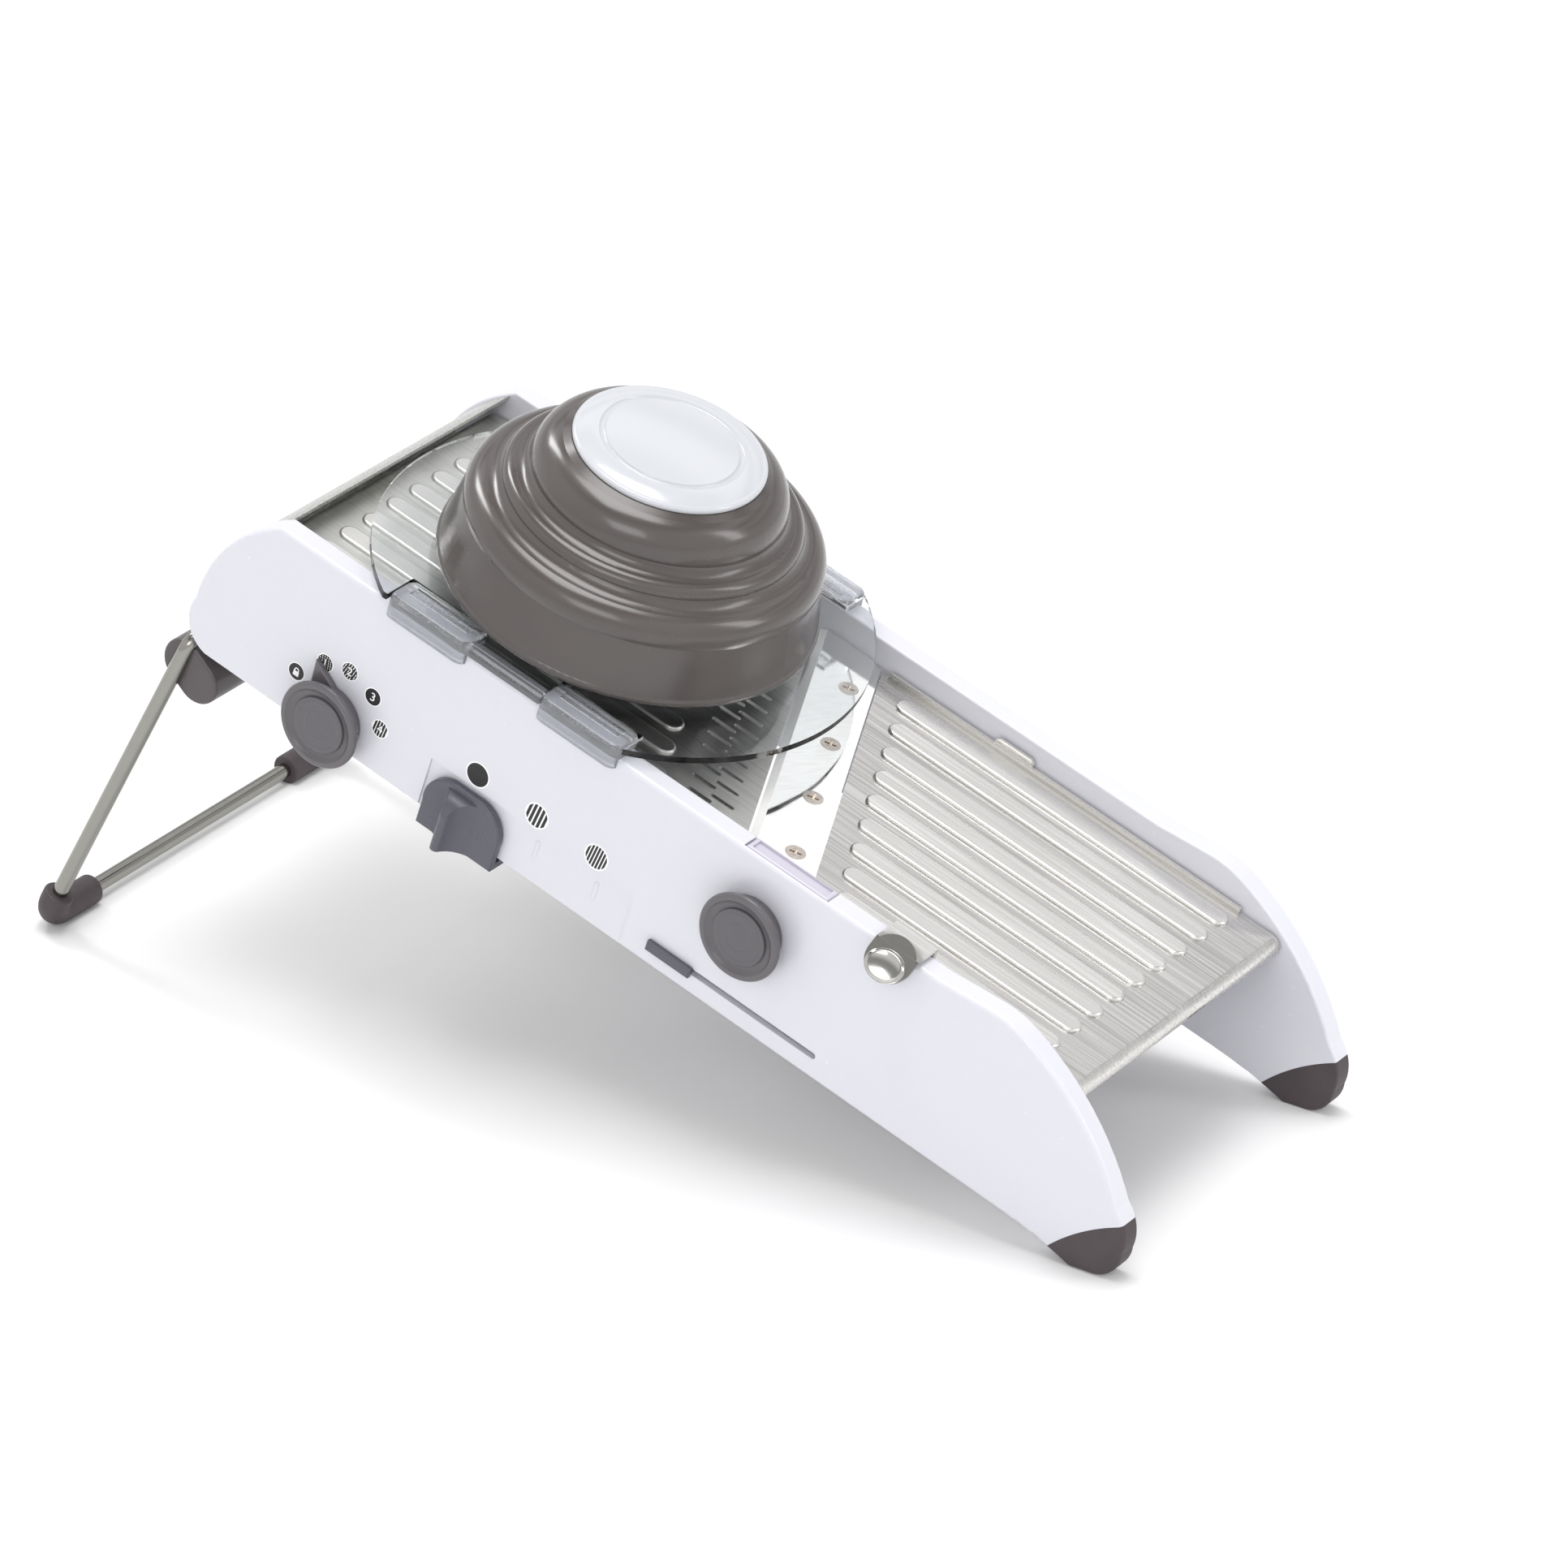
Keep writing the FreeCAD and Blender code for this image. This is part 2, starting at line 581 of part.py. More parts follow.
def guard_runner():
    """Two runners joined by a thin rail along the flange edge."""
    blocks = [runner_block(u) for u in RUNNERS_U]
    rail = box((RUNNERS_U[0][1] - 1, RUNNERS_U[1][0] + 1), (-3, 0.5), (GUARD_W, GUARD_W + 2.9))
    groove = box((-400, -200), (-0.4, WALL + 0.4), (50, TOP + 0.6))
    inside = box((-400, -200), (WALL, 13), (50, GUARD_W))
    return fuse(blocks + [rail]).cut(groove).cut(inside)


CHAMBER_TOP = 106.2


def guard_base():
    """The clear flange and food chamber, moulded in one piece."""
    flange = post(GUARD_U, MID, (GUARD_W, GUARD_W + 2.6), FLANGE_R)
    flange = flange.common(box((-400, -100), (-3, WIDTH + 3), (60, 90)))
    wall = post(GUARD_U, MID, (GUARD_W, CHAMBER_TOP), CHAMBER_R)
    collar = turned([(CHAMBER_R - 1, 73.6), (61, 73.9), (64.6, 76.0), (64.6, 77.2), (CHAMBER_R - 1, 76.4)],
                    Vector(GUARD_U, MID, 0), W)
    base = fuse([flange, wall, collar]).cut(post(GUARD_U, MID, (60, 120), CHAMBER_R - 2.5))
    near = guard_runner_room()
    return base.cut(near).cut(mirrored(near))


def guard_runner_room():
    rooms = [box(u, (-4, 12), (55, 75)) for u in RUNNERS_U]
    rooms.append(box((RUNNERS_U[0][1] - 1, RUNNERS_U[1][0] + 1), (-4, 0.5), (55, 75)))
    return fuse(rooms)


STEM_TOP = 131.0
CAP_SEAT = 136.0
CAP_TOP = 141.8
CAP_CROWN = 206.4      # radius of the palm cap's domed middle


def pusher_dome():
    outline = [(66.6, 77.6), (69.0, 77.6), ((69.9, 79.0), (69.2, 81)), (65.4, 100),
               ((64.4, 106.8), (60, 110.2)), ((56.6, 111.2), (54.6, 113.6)), ((53.6, 116.8), (50.4, 118.0)),
               ((47.8, 119.2), (46.4, 121.6)), ((44.6, 129.6), (38, 134.6)), (35.4, CAP_SEAT),
               (0, CAP_SEAT), (0, STEM_TOP), (36, STEM_TOP), (42.6, 125), (43.2, 115.6), (50.6, 114),
               (51.2, 106.6), (60.4, 106.6), (61.6, 100)]
    return turned(outline, Vector(GUARD_U, MID, 0), W)


def crown(r):
    return CAP_TOP - CAP_CROWN + math.sqrt(CAP_CROWN ** 2 - r ** 2)


def palm_cap():
    outline = [(0, CAP_SEAT), (34.8, CAP_SEAT), ((35.2, 137.4), (33.4, 138.4)), ((29.6, 139.7), (26.4, 140.1)),
               ((25.2, 139.5), (24.0, crown(24.0))), ((12, crown(12.0)), (0, CAP_TOP))]
    return turned(outline, Vector(GUARD_U, MID, 0), W)


def pusher_plate():
    """The plate that presses the food, on a stem from the dome, with three rings of spikes."""
    shapes = [post(GUARD_U, MID, (80.2, 83.7), CHAMBER_R - 3.0), post(GUARD_U, MID, (83.7, STEM_TOP), 9.0)]
    for ring, count in ((14, 6), (31, 12), (47, 18)):
        for n in range(count):
            a = 2 * math.pi * n / count
            spot = Vector(GUARD_U + ring * math.cos(a), MID + ring * math.sin(a), 80.8)
            shapes.append(Part.makeCone(1.6, 0.35, 12.2, spot, Vector(0, 0, -1)))
    return fuse(shapes)


# ---- folding rear stand ----
ALONG = (KNEE - CORNER).normalize()


def bent_pipe(ends, corner, bend, radius):
    """A round bar from one end to the other, with one bend at the corner."""
    into = (corner - ends[0]).normalize()
    out = (ends[1] - corner).normalize()
    reach = bend * math.tan(into.getAngle(out) / 2)
    before, after = corner - into * reach, corner + out * reach
    centre_way = (out - into).normalize()
    centre = corner + centre_way * (bend / math.cos(into.getAngle(out) / 2))
    middle = centre - centre_way * bend
    path = Part.Wire([Part.makeLine(ends[0], before), Part.Arc(before, middle, after).toShape(),
                      Part.makeLine(after, ends[1])])
    profile = Part.Wire([Part.makeCircle(radius, ends[0], into)])
    return path.makePipeShell([profile], True, False)


def stand_arm():
    """A wire arm up from the corner; its top end turns in behind the wall."""
    return bent_pipe((CORNER + ALONG * 9.0, KNEE + V * 9.0), KNEE, 5.0, ROD)


def stand_crossbar():
    ends = CORNER.y + 10.0, WIDTH - CORNER.y - 10.0
    return rod(CORNER.x, CORNER.z, ends, ROD)


def stand_corner():
    """A rubber elbow pushed over the ends of the arm and the cross rod."""
    ends = (CORNER + V * 25.4, CORNER + ALONG * 11.7)
    corner = bent_pipe(ends, CORNER, ELBOW_BEND, ELBOW_R)
    corner = soften(corner, 1.0, lambda e: e.Curve.TypeId == "Part::GeomCircle" and e.Closed)
    return above_table(corner.cut(stand_arm()).cut(stand_crossbar()))


def stand_hub():
    """An oval pad on the arm; the axle turns in its middle."""
    tilt = math.radians(HUB_LEAN)
    du, dw = HUB_HALF * math.cos(tilt), HUB_HALF * math.sin(tilt)
    hub = slot((HUB_U - du, HUB_W - dw), (HUB_U + du, HUB_W + dw), (3.6, EAR_V[0] - 0.5), HUB_R)
    hub = soften(hub, 1.4, lambda e: at_v(e, 3.6))
    return hub.cut(rod(HUB_U, HUB_W, (16, 40), AXLE)).cut(stand_arm())


# ---- assemble, set down on the table and write ----
def nodes():
    dial_v = (-2.0, FAR + 2.0)
    parts = {
        "near_side_wall": near_side_wall(),
        "far_side_wall": far_side_wall(),
        "front_foot_near": front_foot(),
        "front_foot_far": mirrored(front_foot()),
        "rear_cover": rear_cover(),
        "stand_bracket": stand_bracket(),
        "mid_cross_bar": cross_bar((-123, -115), (10, 40)),
        "front_cross_bar": cross_bar((-72, -64), (14, 40)),
        "guide_bridge": guide_bridge(),
        "blade_bed": blade_bed(),
        "blade_plate": blade_plate(),
        "blade_screws": Part.makeCompound([blade_screw(u, v) for u, v in SCREW_SPOTS]),
        "cassette_grip": cassette_grip(),
        "ramp_hinge_pin": rod(RAMP_HINGE[0], RAMP_HINGE[1], (SKIN + 2.2, WIDTH - SKIN - 2.2), PIN),
        "tray_plate": tray_plate(),
        "tray_hinge_pin": rod(TRAY_HINGE[0], TRAY_HINGE[1], (SKIN + 2.2, WIDTH - SKIN - 2.2), PIN),
        "ramp_plate": ramp_plate(),
        "thickness_dial": thickness_dial(),
        "dial_cap": knob_cap(DIAL_U, DIAL_W),
        "dial_shaft": rod(DIAL_U, DIAL_W, dial_v, SHAFT),
        "dial_pinion_near": dial_pinion(),
        "dial_pinion_far": mirrored(dial_pinion()),
        "thickness_rack_near": thickness_rack(),
        "thickness_rack_far": mirrored(thickness_rack()),
        "julienne_selector": julienne_selector(),
        "julienne_slide_frame": julienne_slide_frame(),
        "comb_carrier": comb_carrier(),
        "wide_comb": comb(ROW_A, TOOTH_A, 50.4),
        "narrow_comb": comb(ROW_B, TOOTH_B, 42.4),
        "blade_knob": knob_body(KNOB_U, KNOB_W),
        "blade_knob_cap": knob_cap(KNOB_U, KNOB_W),
        "blade_knob_shaft": rod(KNOB_U, KNOB_W, (-2.0, 14.0), SHAFT),
        "lock_cam": lock_cam(),
        "catch_slider": catch_slider(),
        "catch_bar": catch_bar(),
        "guard_base": guard_base(),
        "guard_runner_near": guard_runner(),
        "guard_runner_far": mirrored(guard_runner()),
        "pusher_dome": pusher_dome(),
        "palm_cap": palm_cap(),
        "pusher_plate": pusher_plate(),
        "stand_arm_near": stand_arm(),
        "stand_arm_far": mirrored(stand_arm()),
        "stand_crossbar": stand_crossbar(),
        "stand_corner_near": stand_corner(),
        "stand_corner_far": mirrored(stand_corner()),
        "stand_hub_near": stand_hub(),
        "stand_hub_far": mirrored(stand_hub()),
        "stand_axle": rod(HUB_U, HUB_W, (16.0, WIDTH - 16.0), AXLE),
    }
    return parts


def write():
    os.makedirs("parts", exist_ok=True)
    parts = nodes()
    reach = []
    for shape in parts.values():
        shape.rotate(Vector(), V, LEAN)
        reach.append(shape.optimalBoundingBox(False))
    middle = (min(b.XMin for b in reach) + max(b.XMax for b in reach)) / 2
    shift = Vector(-middle, -MID, 0)
    print("shift", round(middle, 4), "lowest", round(min(b.ZMin for b in reach), 4))
    for name, shape in parts.items():
        shape.translate(shift)
        good = shape.isValid() and all(s.isClosed() for s in shape.Shells)
        print(name, len(shape.Solids), round(shape.Volume), "" if good else "NOT VALID")
        shape.exportStep("parts/" + name + ".step")


write()
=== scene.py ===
import json
import math

import bpy
import numpy as np
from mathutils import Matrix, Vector


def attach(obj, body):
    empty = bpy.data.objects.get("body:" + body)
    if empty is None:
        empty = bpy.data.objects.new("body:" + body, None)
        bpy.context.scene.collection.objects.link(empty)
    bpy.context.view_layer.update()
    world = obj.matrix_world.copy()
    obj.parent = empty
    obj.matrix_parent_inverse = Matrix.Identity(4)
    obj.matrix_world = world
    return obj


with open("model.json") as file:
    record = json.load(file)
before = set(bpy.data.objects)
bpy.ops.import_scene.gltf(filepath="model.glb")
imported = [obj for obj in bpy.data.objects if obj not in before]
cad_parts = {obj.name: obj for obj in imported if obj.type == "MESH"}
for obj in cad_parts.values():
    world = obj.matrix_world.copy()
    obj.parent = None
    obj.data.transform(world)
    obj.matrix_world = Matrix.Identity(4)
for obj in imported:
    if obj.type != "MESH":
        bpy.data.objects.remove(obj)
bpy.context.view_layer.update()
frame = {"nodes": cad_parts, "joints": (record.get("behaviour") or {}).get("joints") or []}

# ---------------------------------------------------------------------------
# Side walls and fixed cross members.
# Injection-moulded ABS, glossy and cool white, each wall a hollow moulding with soft outer edges.
# The cross bars, comb guide, blade bed and comb carrier come from the same white moulding batch.

joints = {joint["name"]: joint for joint in frame["joints"]}
FORWARD = np.array(joints["selector_slide"]["axis"])      # down the slope, along the deck
SQUARE = np.array(joints["comb_lift"]["axis"])            # square to the deck
KNOB_CENTRE = np.array(joints["knob_turn"]["pos_m"])      # a known point on the near wall's skin
KNOB_U, KNOB_W = -162.0, 40.6
DECK_LEAN = math.atan2(-FORWARD[2], FORWARD[0])


def deck(u, v, w):
    """Millimetres along the deck, across it and square to it, turned to metres in the world:
    the knob's centre plus each run along its own axis. Takes numbers or whole arrays."""
    u, v, w = np.broadcast_arrays(u, v, w)
    run = np.stack([u - KNOB_U, v, w - KNOB_W], axis=-1) / 1000
    axes = np.stack([FORWARD, [0.0, 1.0, 0.0], SQUARE])
    return KNOB_CENTRE + run @ axes


def linear(code, alpha=1.0):
    """sRGB hex to linear light, by the usual piecewise curve."""
    channels = np.array([int(code[n:n + 2], 16) for n in (1, 3, 5)]) / 255
    bent = ((channels + 0.055) / 1.055) ** 2.4
    return (*np.where(channels <= 0.04045, channels / 12.92, bent), alpha)


def add(material, kind, settings=None, links=None):
    """Adds one shader node: settings go to sockets or properties, links bring in other sockets."""
    tree = material.node_tree
    node = tree.nodes.new("ShaderNode" + kind)
    for key, value in (settings or {}).items():
        if isinstance(key, int) or key in node.inputs:
            node.inputs[key].default_value = value
        else:
            setattr(node, key, value)
    for key, socket in (links or {}).items():
        tree.links.new(socket, node.inputs[key])
    return node


def new_finish(name):
    material = bpy.data.materials.new(name)
    material.use_nodes = True
    material.node_tree.nodes.clear()
    return material


def clothe(material, *names):
    """Gives CAD nodes their finish."""
    for name in names:
        mesh = frame["nodes"][name].data
        mesh.materials.clear()
        mesh.materials.append(material)


# Moulded ABS with a soft gloss: a faint orange peel about 6 mm across, and a cloudiness about
# 3 mm across that changes its tint and its gloss very slightly.
white_abs = new_finish("glossy_moulded_ABS_white")
place = add(white_abs, "TexCoord")
peel = add(white_abs, "TexNoise", {"Scale": 170.0, "Detail": 2.0}, {"Vector": place.outputs["Object"]})
cloud = add(white_abs, "TexNoise", {"Scale": 300.0, "Detail": 3.0}, {"Vector": place.outputs["Object"]})
gloss = add(white_abs, "MapRange", {"From Min": 0.1, "From Max": 0.9, "To Min": 0.25, "To Max": 0.28},
            {"Value": cloud.outputs["Fac"]})
tint = add(white_abs, "ValToRGB", {}, {"Fac": cloud.outputs["Fac"]})
tint.color_ramp.elements[0].position, tint.color_ramp.elements[0].color = 0.1, linear("#D6D6DD")
tint.color_ramp.elements[1].position, tint.color_ramp.elements[1].color = 0.9, linear("#D7D7DE")
skin = add(white_abs, "Bump", {"Strength": 0.25, "Distance": 0.00006}, {"Height": peel.outputs["Fac"]})
body = add(white_abs, "BsdfPrincipled", {"IOR": 1.53, "Subsurface Weight": 0.04, "Subsurface Scale": 0.001},
           {"Base Color": tint.outputs["Color"], "Roughness": gloss.outputs["Result"],
            "Normal": skin.outputs["Normal"]})
add(white_abs, "OutputMaterial", {}, {"Surface": body.outputs["BSDF"]})
clothe(white_abs, "near_side_wall", "far_side_wall", "mid_cross_bar", "front_cross_bar", "guide_bridge",
       "blade_bed", "comb_carrier")

# ---------------------------------------------------------------------------
# Marks on the near wall: thickness numbers round the dial and comb symbols over the selector.
# Pad-printed black and white ink, a few hundredths of a millimetre proud of the plastic.
# A round blot stands for plain slices, wide and narrow stripes for wide and narrow strips.


def mesh_piece(name, points, faces, material, body_name, slot):
    """One object from points in metres and lists of corners, riding on a body."""
    mesh = bpy.data.meshes.new(name)
    mesh.from_pydata(np.asarray(points).tolist(), [], faces)
    mesh.validate()
    mesh.materials.append(material)
    piece = bpy.data.objects.new(name, mesh)
    bpy.context.scene.collection.objects.link(piece)
    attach(piece, body_name)
    return piece


def plates(outlines, v_face, v_back):
    """Closed flat plates: each (n, 2) outline in u and w is set at two depths, the front one
    turned to face out of the near wall, with a band of sides between them."""
    points, faces, start = [], [], 0
    for outline in outlines:
        n = len(outline)
        ring = np.arange(n)
        area = np.sum(outline[:, 0] * np.roll(outline[:, 1], -1) - outline[:, 1] * np.roll(outline[:, 0], -1))
        outline = outline if area > 0 else outline[::-1]
        front = deck(outline[:, 0], v_face, outline[:, 1])
        back = deck(outline[:, 0], v_back, outline[:, 1])
        points += [front, back]
        faces.append((start + ring).tolist())
        faces.append((start + n + ring[::-1]).tolist())
        sides = np.stack([ring, ring + n, np.roll(ring, -1) + n, np.roll(ring, -1)], axis=1) + start
        faces += sides.tolist()
        start += 2 * n
    return np.concatenate(points), faces


def disc_outline(u, w, radius):
    """Points round a circle at equal angles."""
    turn = np.linspace(0, 2 * np.pi, 48, endpoint=False)
    return np.stack([u + radius * np.cos(turn), w + radius * np.sin(turn)], axis=1)


def stripe_outlines(u, w, radius, pitch, width, angle):
    """Bars clipped to a circle: each bar runs between the circle's upper and lower arcs,
    from one of its long edges to the other, then the whole is turned by the angle."""
    shapes = []
    count = int(radius / pitch)
    for middle in np.arange(-count, count + 1) * pitch:
        edge = np.clip([middle - width / 2, middle + width / 2], -radius, radius)
        across = np.linspace(edge[0], edge[1], 6)
        up = np.sqrt(np.maximum(radius ** 2 - across ** 2, 0.0004))
        x = np.concatenate([across, across[::-1]])
        y = np.concatenate([-up, up[::-1]])
        shapes.append(np.stack([u + x * math.cos(angle) - y * math.sin(angle),
                                w + x * math.sin(angle) + y * math.cos(angle)], axis=1))
    return shapes


# Printing ink: dead black or white, a touch glossier than paper, with a slightly uneven film.
inks = {}
for ink_name, ink_code in (("printed_ink_black", "#1B1A1C"), ("printed_ink_white", "#F4F4F4")):
    ink = new_finish(ink_name)
    place = add(ink, "TexCoord")
    film = add(ink, "TexNoise", {"Scale": 900.0, "Detail": 3.0}, {"Vector": place.outputs["Object"]})
    gloss = add(ink, "MapRange", {"To Min": 0.42, "To Max": 0.6}, {"Value": film.outputs["Fac"]})
    body = add(ink, "BsdfPrincipled", {"Base Color": linear(ink_code), "IOR": 1.5},
               {"Roughness": gloss.outputs["Result"]})
    add(ink, "OutputMaterial", {}, {"Surface": body.outputs["BSDF"]})
    inks[ink_name] = ink

RIM_PROUD, INK_PROUD, FIGURE_PROUD = -0.015, -0.03, -0.05
RIM = 1.13                # each mark sits on a white disc this much wider
SYMBOL_R = 4.6
SYMBOL_U, SYMBOL_W = (-280.6, -253.7, -226.8), 27.3
symbols = {
    "slice_symbol": [disc_outline(SYMBOL_U[0], SYMBOL_W, SYMBOL_R)],
    "wide_strip_symbol": stripe_outlines(SYMBOL_U[1], SYMBOL_W, SYMBOL_R, 1.8, 1.18, -0.12),
    "narrow_strip_symbol": stripe_outlines(SYMBOL_U[2], SYMBOL_W, SYMBOL_R, 1.32, 0.88, -0.12)}
for name, shapes in symbols.items():
    mesh_piece(name, *plates(shapes, INK_PROUD, 0.02), inks["printed_ink_black"], "frame", "grey_knob")
rims = [disc_outline(u, SYMBOL_W, SYMBOL_R * RIM) for u in SYMBOL_U]

# The five stops of the dial: a padlock for the closed stop, then thicknesses 1 to 4.
DIAL_U, DIAL_W = -343.0, 10.4
STOP_R = 3.3
STOPS = {"lock": (156, 20.4), "1": (114, 21.0), "2": (85, 22.5), "3": (54, 23.3), "4": (23, 21.8)}
stop_spots = {name: (DIAL_U + reach * math.cos(math.radians(angle)),
                     DIAL_W + reach * math.sin(math.radians(angle)))
              for name, (angle, reach) in STOPS.items()}
rims += [disc_outline(*spot, STOP_R * RIM) for spot in stop_spots.values()]
mesh_piece("white_rims", *plates(rims, RIM_PROUD, 0.02), inks["printed_ink_white"], "frame", "cap_white")
blots = [disc_outline(*stop_spots[stop], STOP_R) for stop in ("lock", "3")]
blots += stripe_outlines(*stop_spots["1"], STOP_R, 0.95, 0.62, 0.1)
blots += stripe_outlines(*stop_spots["2"], STOP_R, 1.05, 0.74, -0.3)
blots += stripe_outlines(*stop_spots["4"], STOP_R, 1.2, 0.86, -0.1)
mesh_piece("dial_stop_blots", *plates(blots, INK_PROUD, 0.02), inks["printed_ink_black"], "frame", "grey_knob")
hatch = stripe_outlines(*stop_spots["1"], STOP_R * 0.99, 0.95, 0.4, 1.67)
hatch += stripe_outlines(*stop_spots["2"], STOP_R * 0.99, 1.6, 0.3, 1.27)
mesh_piece("dial_stop_hatch", *plates(hatch, INK_PROUD - 0.004, 0.02), inks["printed_ink_black"],
           "frame", "grey_knob")


FIGURE_HEIGHT = 3.4
FIGURE_SHARE = 0.7        # height of a figure as a share of the face's size


def numeral(name, character, spot, height, heft, proud, ink):
    """A printed figure: the built-in face made into a mesh, centred, then laid on the wall skin.
    Its x runs along the deck and its y square to it. The heft widens its strokes."""
    curve = bpy.data.curves.new(name, "FONT")
    curve.body = character
    curve.extrude = 0.01
    curve.offset = heft
    curve.size = height / FIGURE_SHARE
    holder = bpy.data.objects.new("holder", curve)
    bpy.context.scene.collection.objects.link(holder)
    bpy.context.view_layer.update()
    mesh = bpy.data.meshes.new_from_object(holder.evaluated_get(bpy.context.evaluated_depsgraph_get()))
    flat = np.empty(len(mesh.vertices) * 3)
    mesh.vertices.foreach_get("co", flat)
    flat = flat.reshape(-1, 3)
    middle = (flat.min(0) + flat.max(0)) / 2
    placed = deck(spot[0] + flat[:, 0] - middle[0], proud - flat[:, 2], spot[1] + flat[:, 1] - middle[1])
    mesh.vertices.foreach_set("co", placed.ravel())
    mesh.update()
    bpy.data.objects.remove(holder)
    mesh.materials.clear()
    mesh.materials.append(ink)
    piece = bpy.data.objects.new(name, mesh)
    bpy.context.scene.collection.objects.link(piece)
    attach(piece, "frame")


for figure in "1234":
    numeral("figure_edge_" + figure, figure, stop_spots[figure], FIGURE_HEIGHT, 0.32, INK_PROUD - 0.02,
            inks["printed_ink_black"])
    numeral("figure_" + figure, figure, stop_spots[figure], FIGURE_HEIGHT, 0.03, FIGURE_PROUD - 0.02,
            inks["printed_ink_white"])

# The padlock: a square body and a half-round shackle.
body_outline = np.array([[-1.2, -1.8], [1.2, -1.8], [1.2, 0.2], [-1.2, 0.2]])
arch = np.linspace(0, np.pi, 14)
outer = np.stack([1.0 * np.cos(arch), 0.7 + 1.0 * np.sin(arch)], axis=1)
inner = np.stack([0.55 * np.cos(arch[::-1]), 0.7 + 0.55 * np.sin(arch[::-1])], axis=1)
shackle = np.concatenate([[[1.0, 0.2]], outer, [[-1.0, 0.2], [-0.55, 0.2]], inner, [[0.55, 0.2]]])
padlock = [shape + np.array(stop_spots["lock"]) for shape in (body_outline, shackle)]
mesh_piece("dial_padlock", *plates(padlock, FIGURE_PROUD - 0.02, 0.0), inks["printed_ink_white"],
           "frame", "cap_white")

# ---------------------------------------------------------------------------
# Detent marks: two low moulded bars in the recessed panel that the selector slides along.
# They are part of the white moulding, with rounded ends, under the striped symbols.


def rounded_bar(u, w, length, width, v_skin, rise):
    """A low pill: a half ellipse across, swept along a straight run, with the same ellipse
    turned round at both ends. Rows go along the pill and columns across it."""
    along = np.linspace(0, 1, 33)[:, None]
    across = np.linspace(0, np.pi, 17)[None, :]
    half = width / 2
    end = np.clip((np.abs(along - 0.5) * length - (length / 2 - half)) / half, 0, 1)
    taper = np.sqrt(np.maximum(1 - end ** 2, 0))
    x = half * taper * np.cos(across)
    height = rise * taper * np.sin(across)
    y = (along - 0.5) * length + 0 * across
    points = deck(u + x, v_skin - height, w + y)
    rows, columns = x.shape
    index = np.arange(rows * columns).reshape(rows, columns)
    quads = np.stack([index[:-1, :-1], index[1:, :-1], index[1:, 1:], index[:-1, 1:]], axis=-1).reshape(-1, 4)
    return points.reshape(-1, 3), quads[:, ::-1].tolist()


for number, mark_u in enumerate((-250.2, -223.6)):
    piece = mesh_piece("detent_mark_%d" % (number + 1), *rounded_bar(mark_u, 13.6, 8.5, 1.9, 0.72, 0.45),
                       white_abs, "frame", "white_plastic")
    piece.data.polygons.foreach_set("use_smooth", np.ones(len(piece.data.polygons), bool))

# ---------------------------------------------------------------------------
# Front feet and stand elbows: soft grey-brown rubber.
# The feet are moulded onto the walls' tips; the elbows are pushed over the stand rods.

rubber = new_finish("soft_moulded_rubber_warm_grey")
place = add(rubber, "TexCoord")
grain = add(rubber, "TexNoise", {"Scale": 1400.0, "Detail": 2.0}, {"Vector": place.outputs["Object"]})
scuff = add(rubber, "TexNoise", {"Scale": 60.0, "Detail": 6.0, "Roughness": 0.6},
            {"Vector": place.outputs["Object"]})
tint = add(rubber, "ValToRGB", {}, {"Fac": scuff.outputs["Fac"]})
tint.color_ramp.elements[0].position, tint.color_ramp.elements[0].color = 0.35, linear("#3F373A")
tint.color_ramp.elements[1].position, tint.color_ramp.elements[1].color = 0.75, linear("#4C4346")
gloss = add(rubber, "MapRange", {"To Min": 0.5, "To Max": 0.68}, {"Value": scuff.outputs["Fac"]})
skin = add(rubber, "Bump", {"Strength": 0.5, "Distance": 0.00004}, {"Height": grain.outputs["Fac"]})
body = add(rubber, "BsdfPrincipled", {"IOR": 1.5},
           {"Base Color": tint.outputs["Color"], "Roughness": gloss.outputs["Result"],
            "Normal": skin.outputs["Normal"]})
add(rubber, "OutputMaterial", {}, {"Surface": body.outputs["BSDF"]})
clothe(rubber, "front_foot_near", "front_foot_far", "stand_corner_near", "stand_corner_far")

# ---------------------------------------------------------------------------
# Tray, ramp, rear cover and stand bracket: 1.2 mm stainless sheet.
# It is brushed along the deck, then ribbed and folded; the ribs keep wet food from sticking.


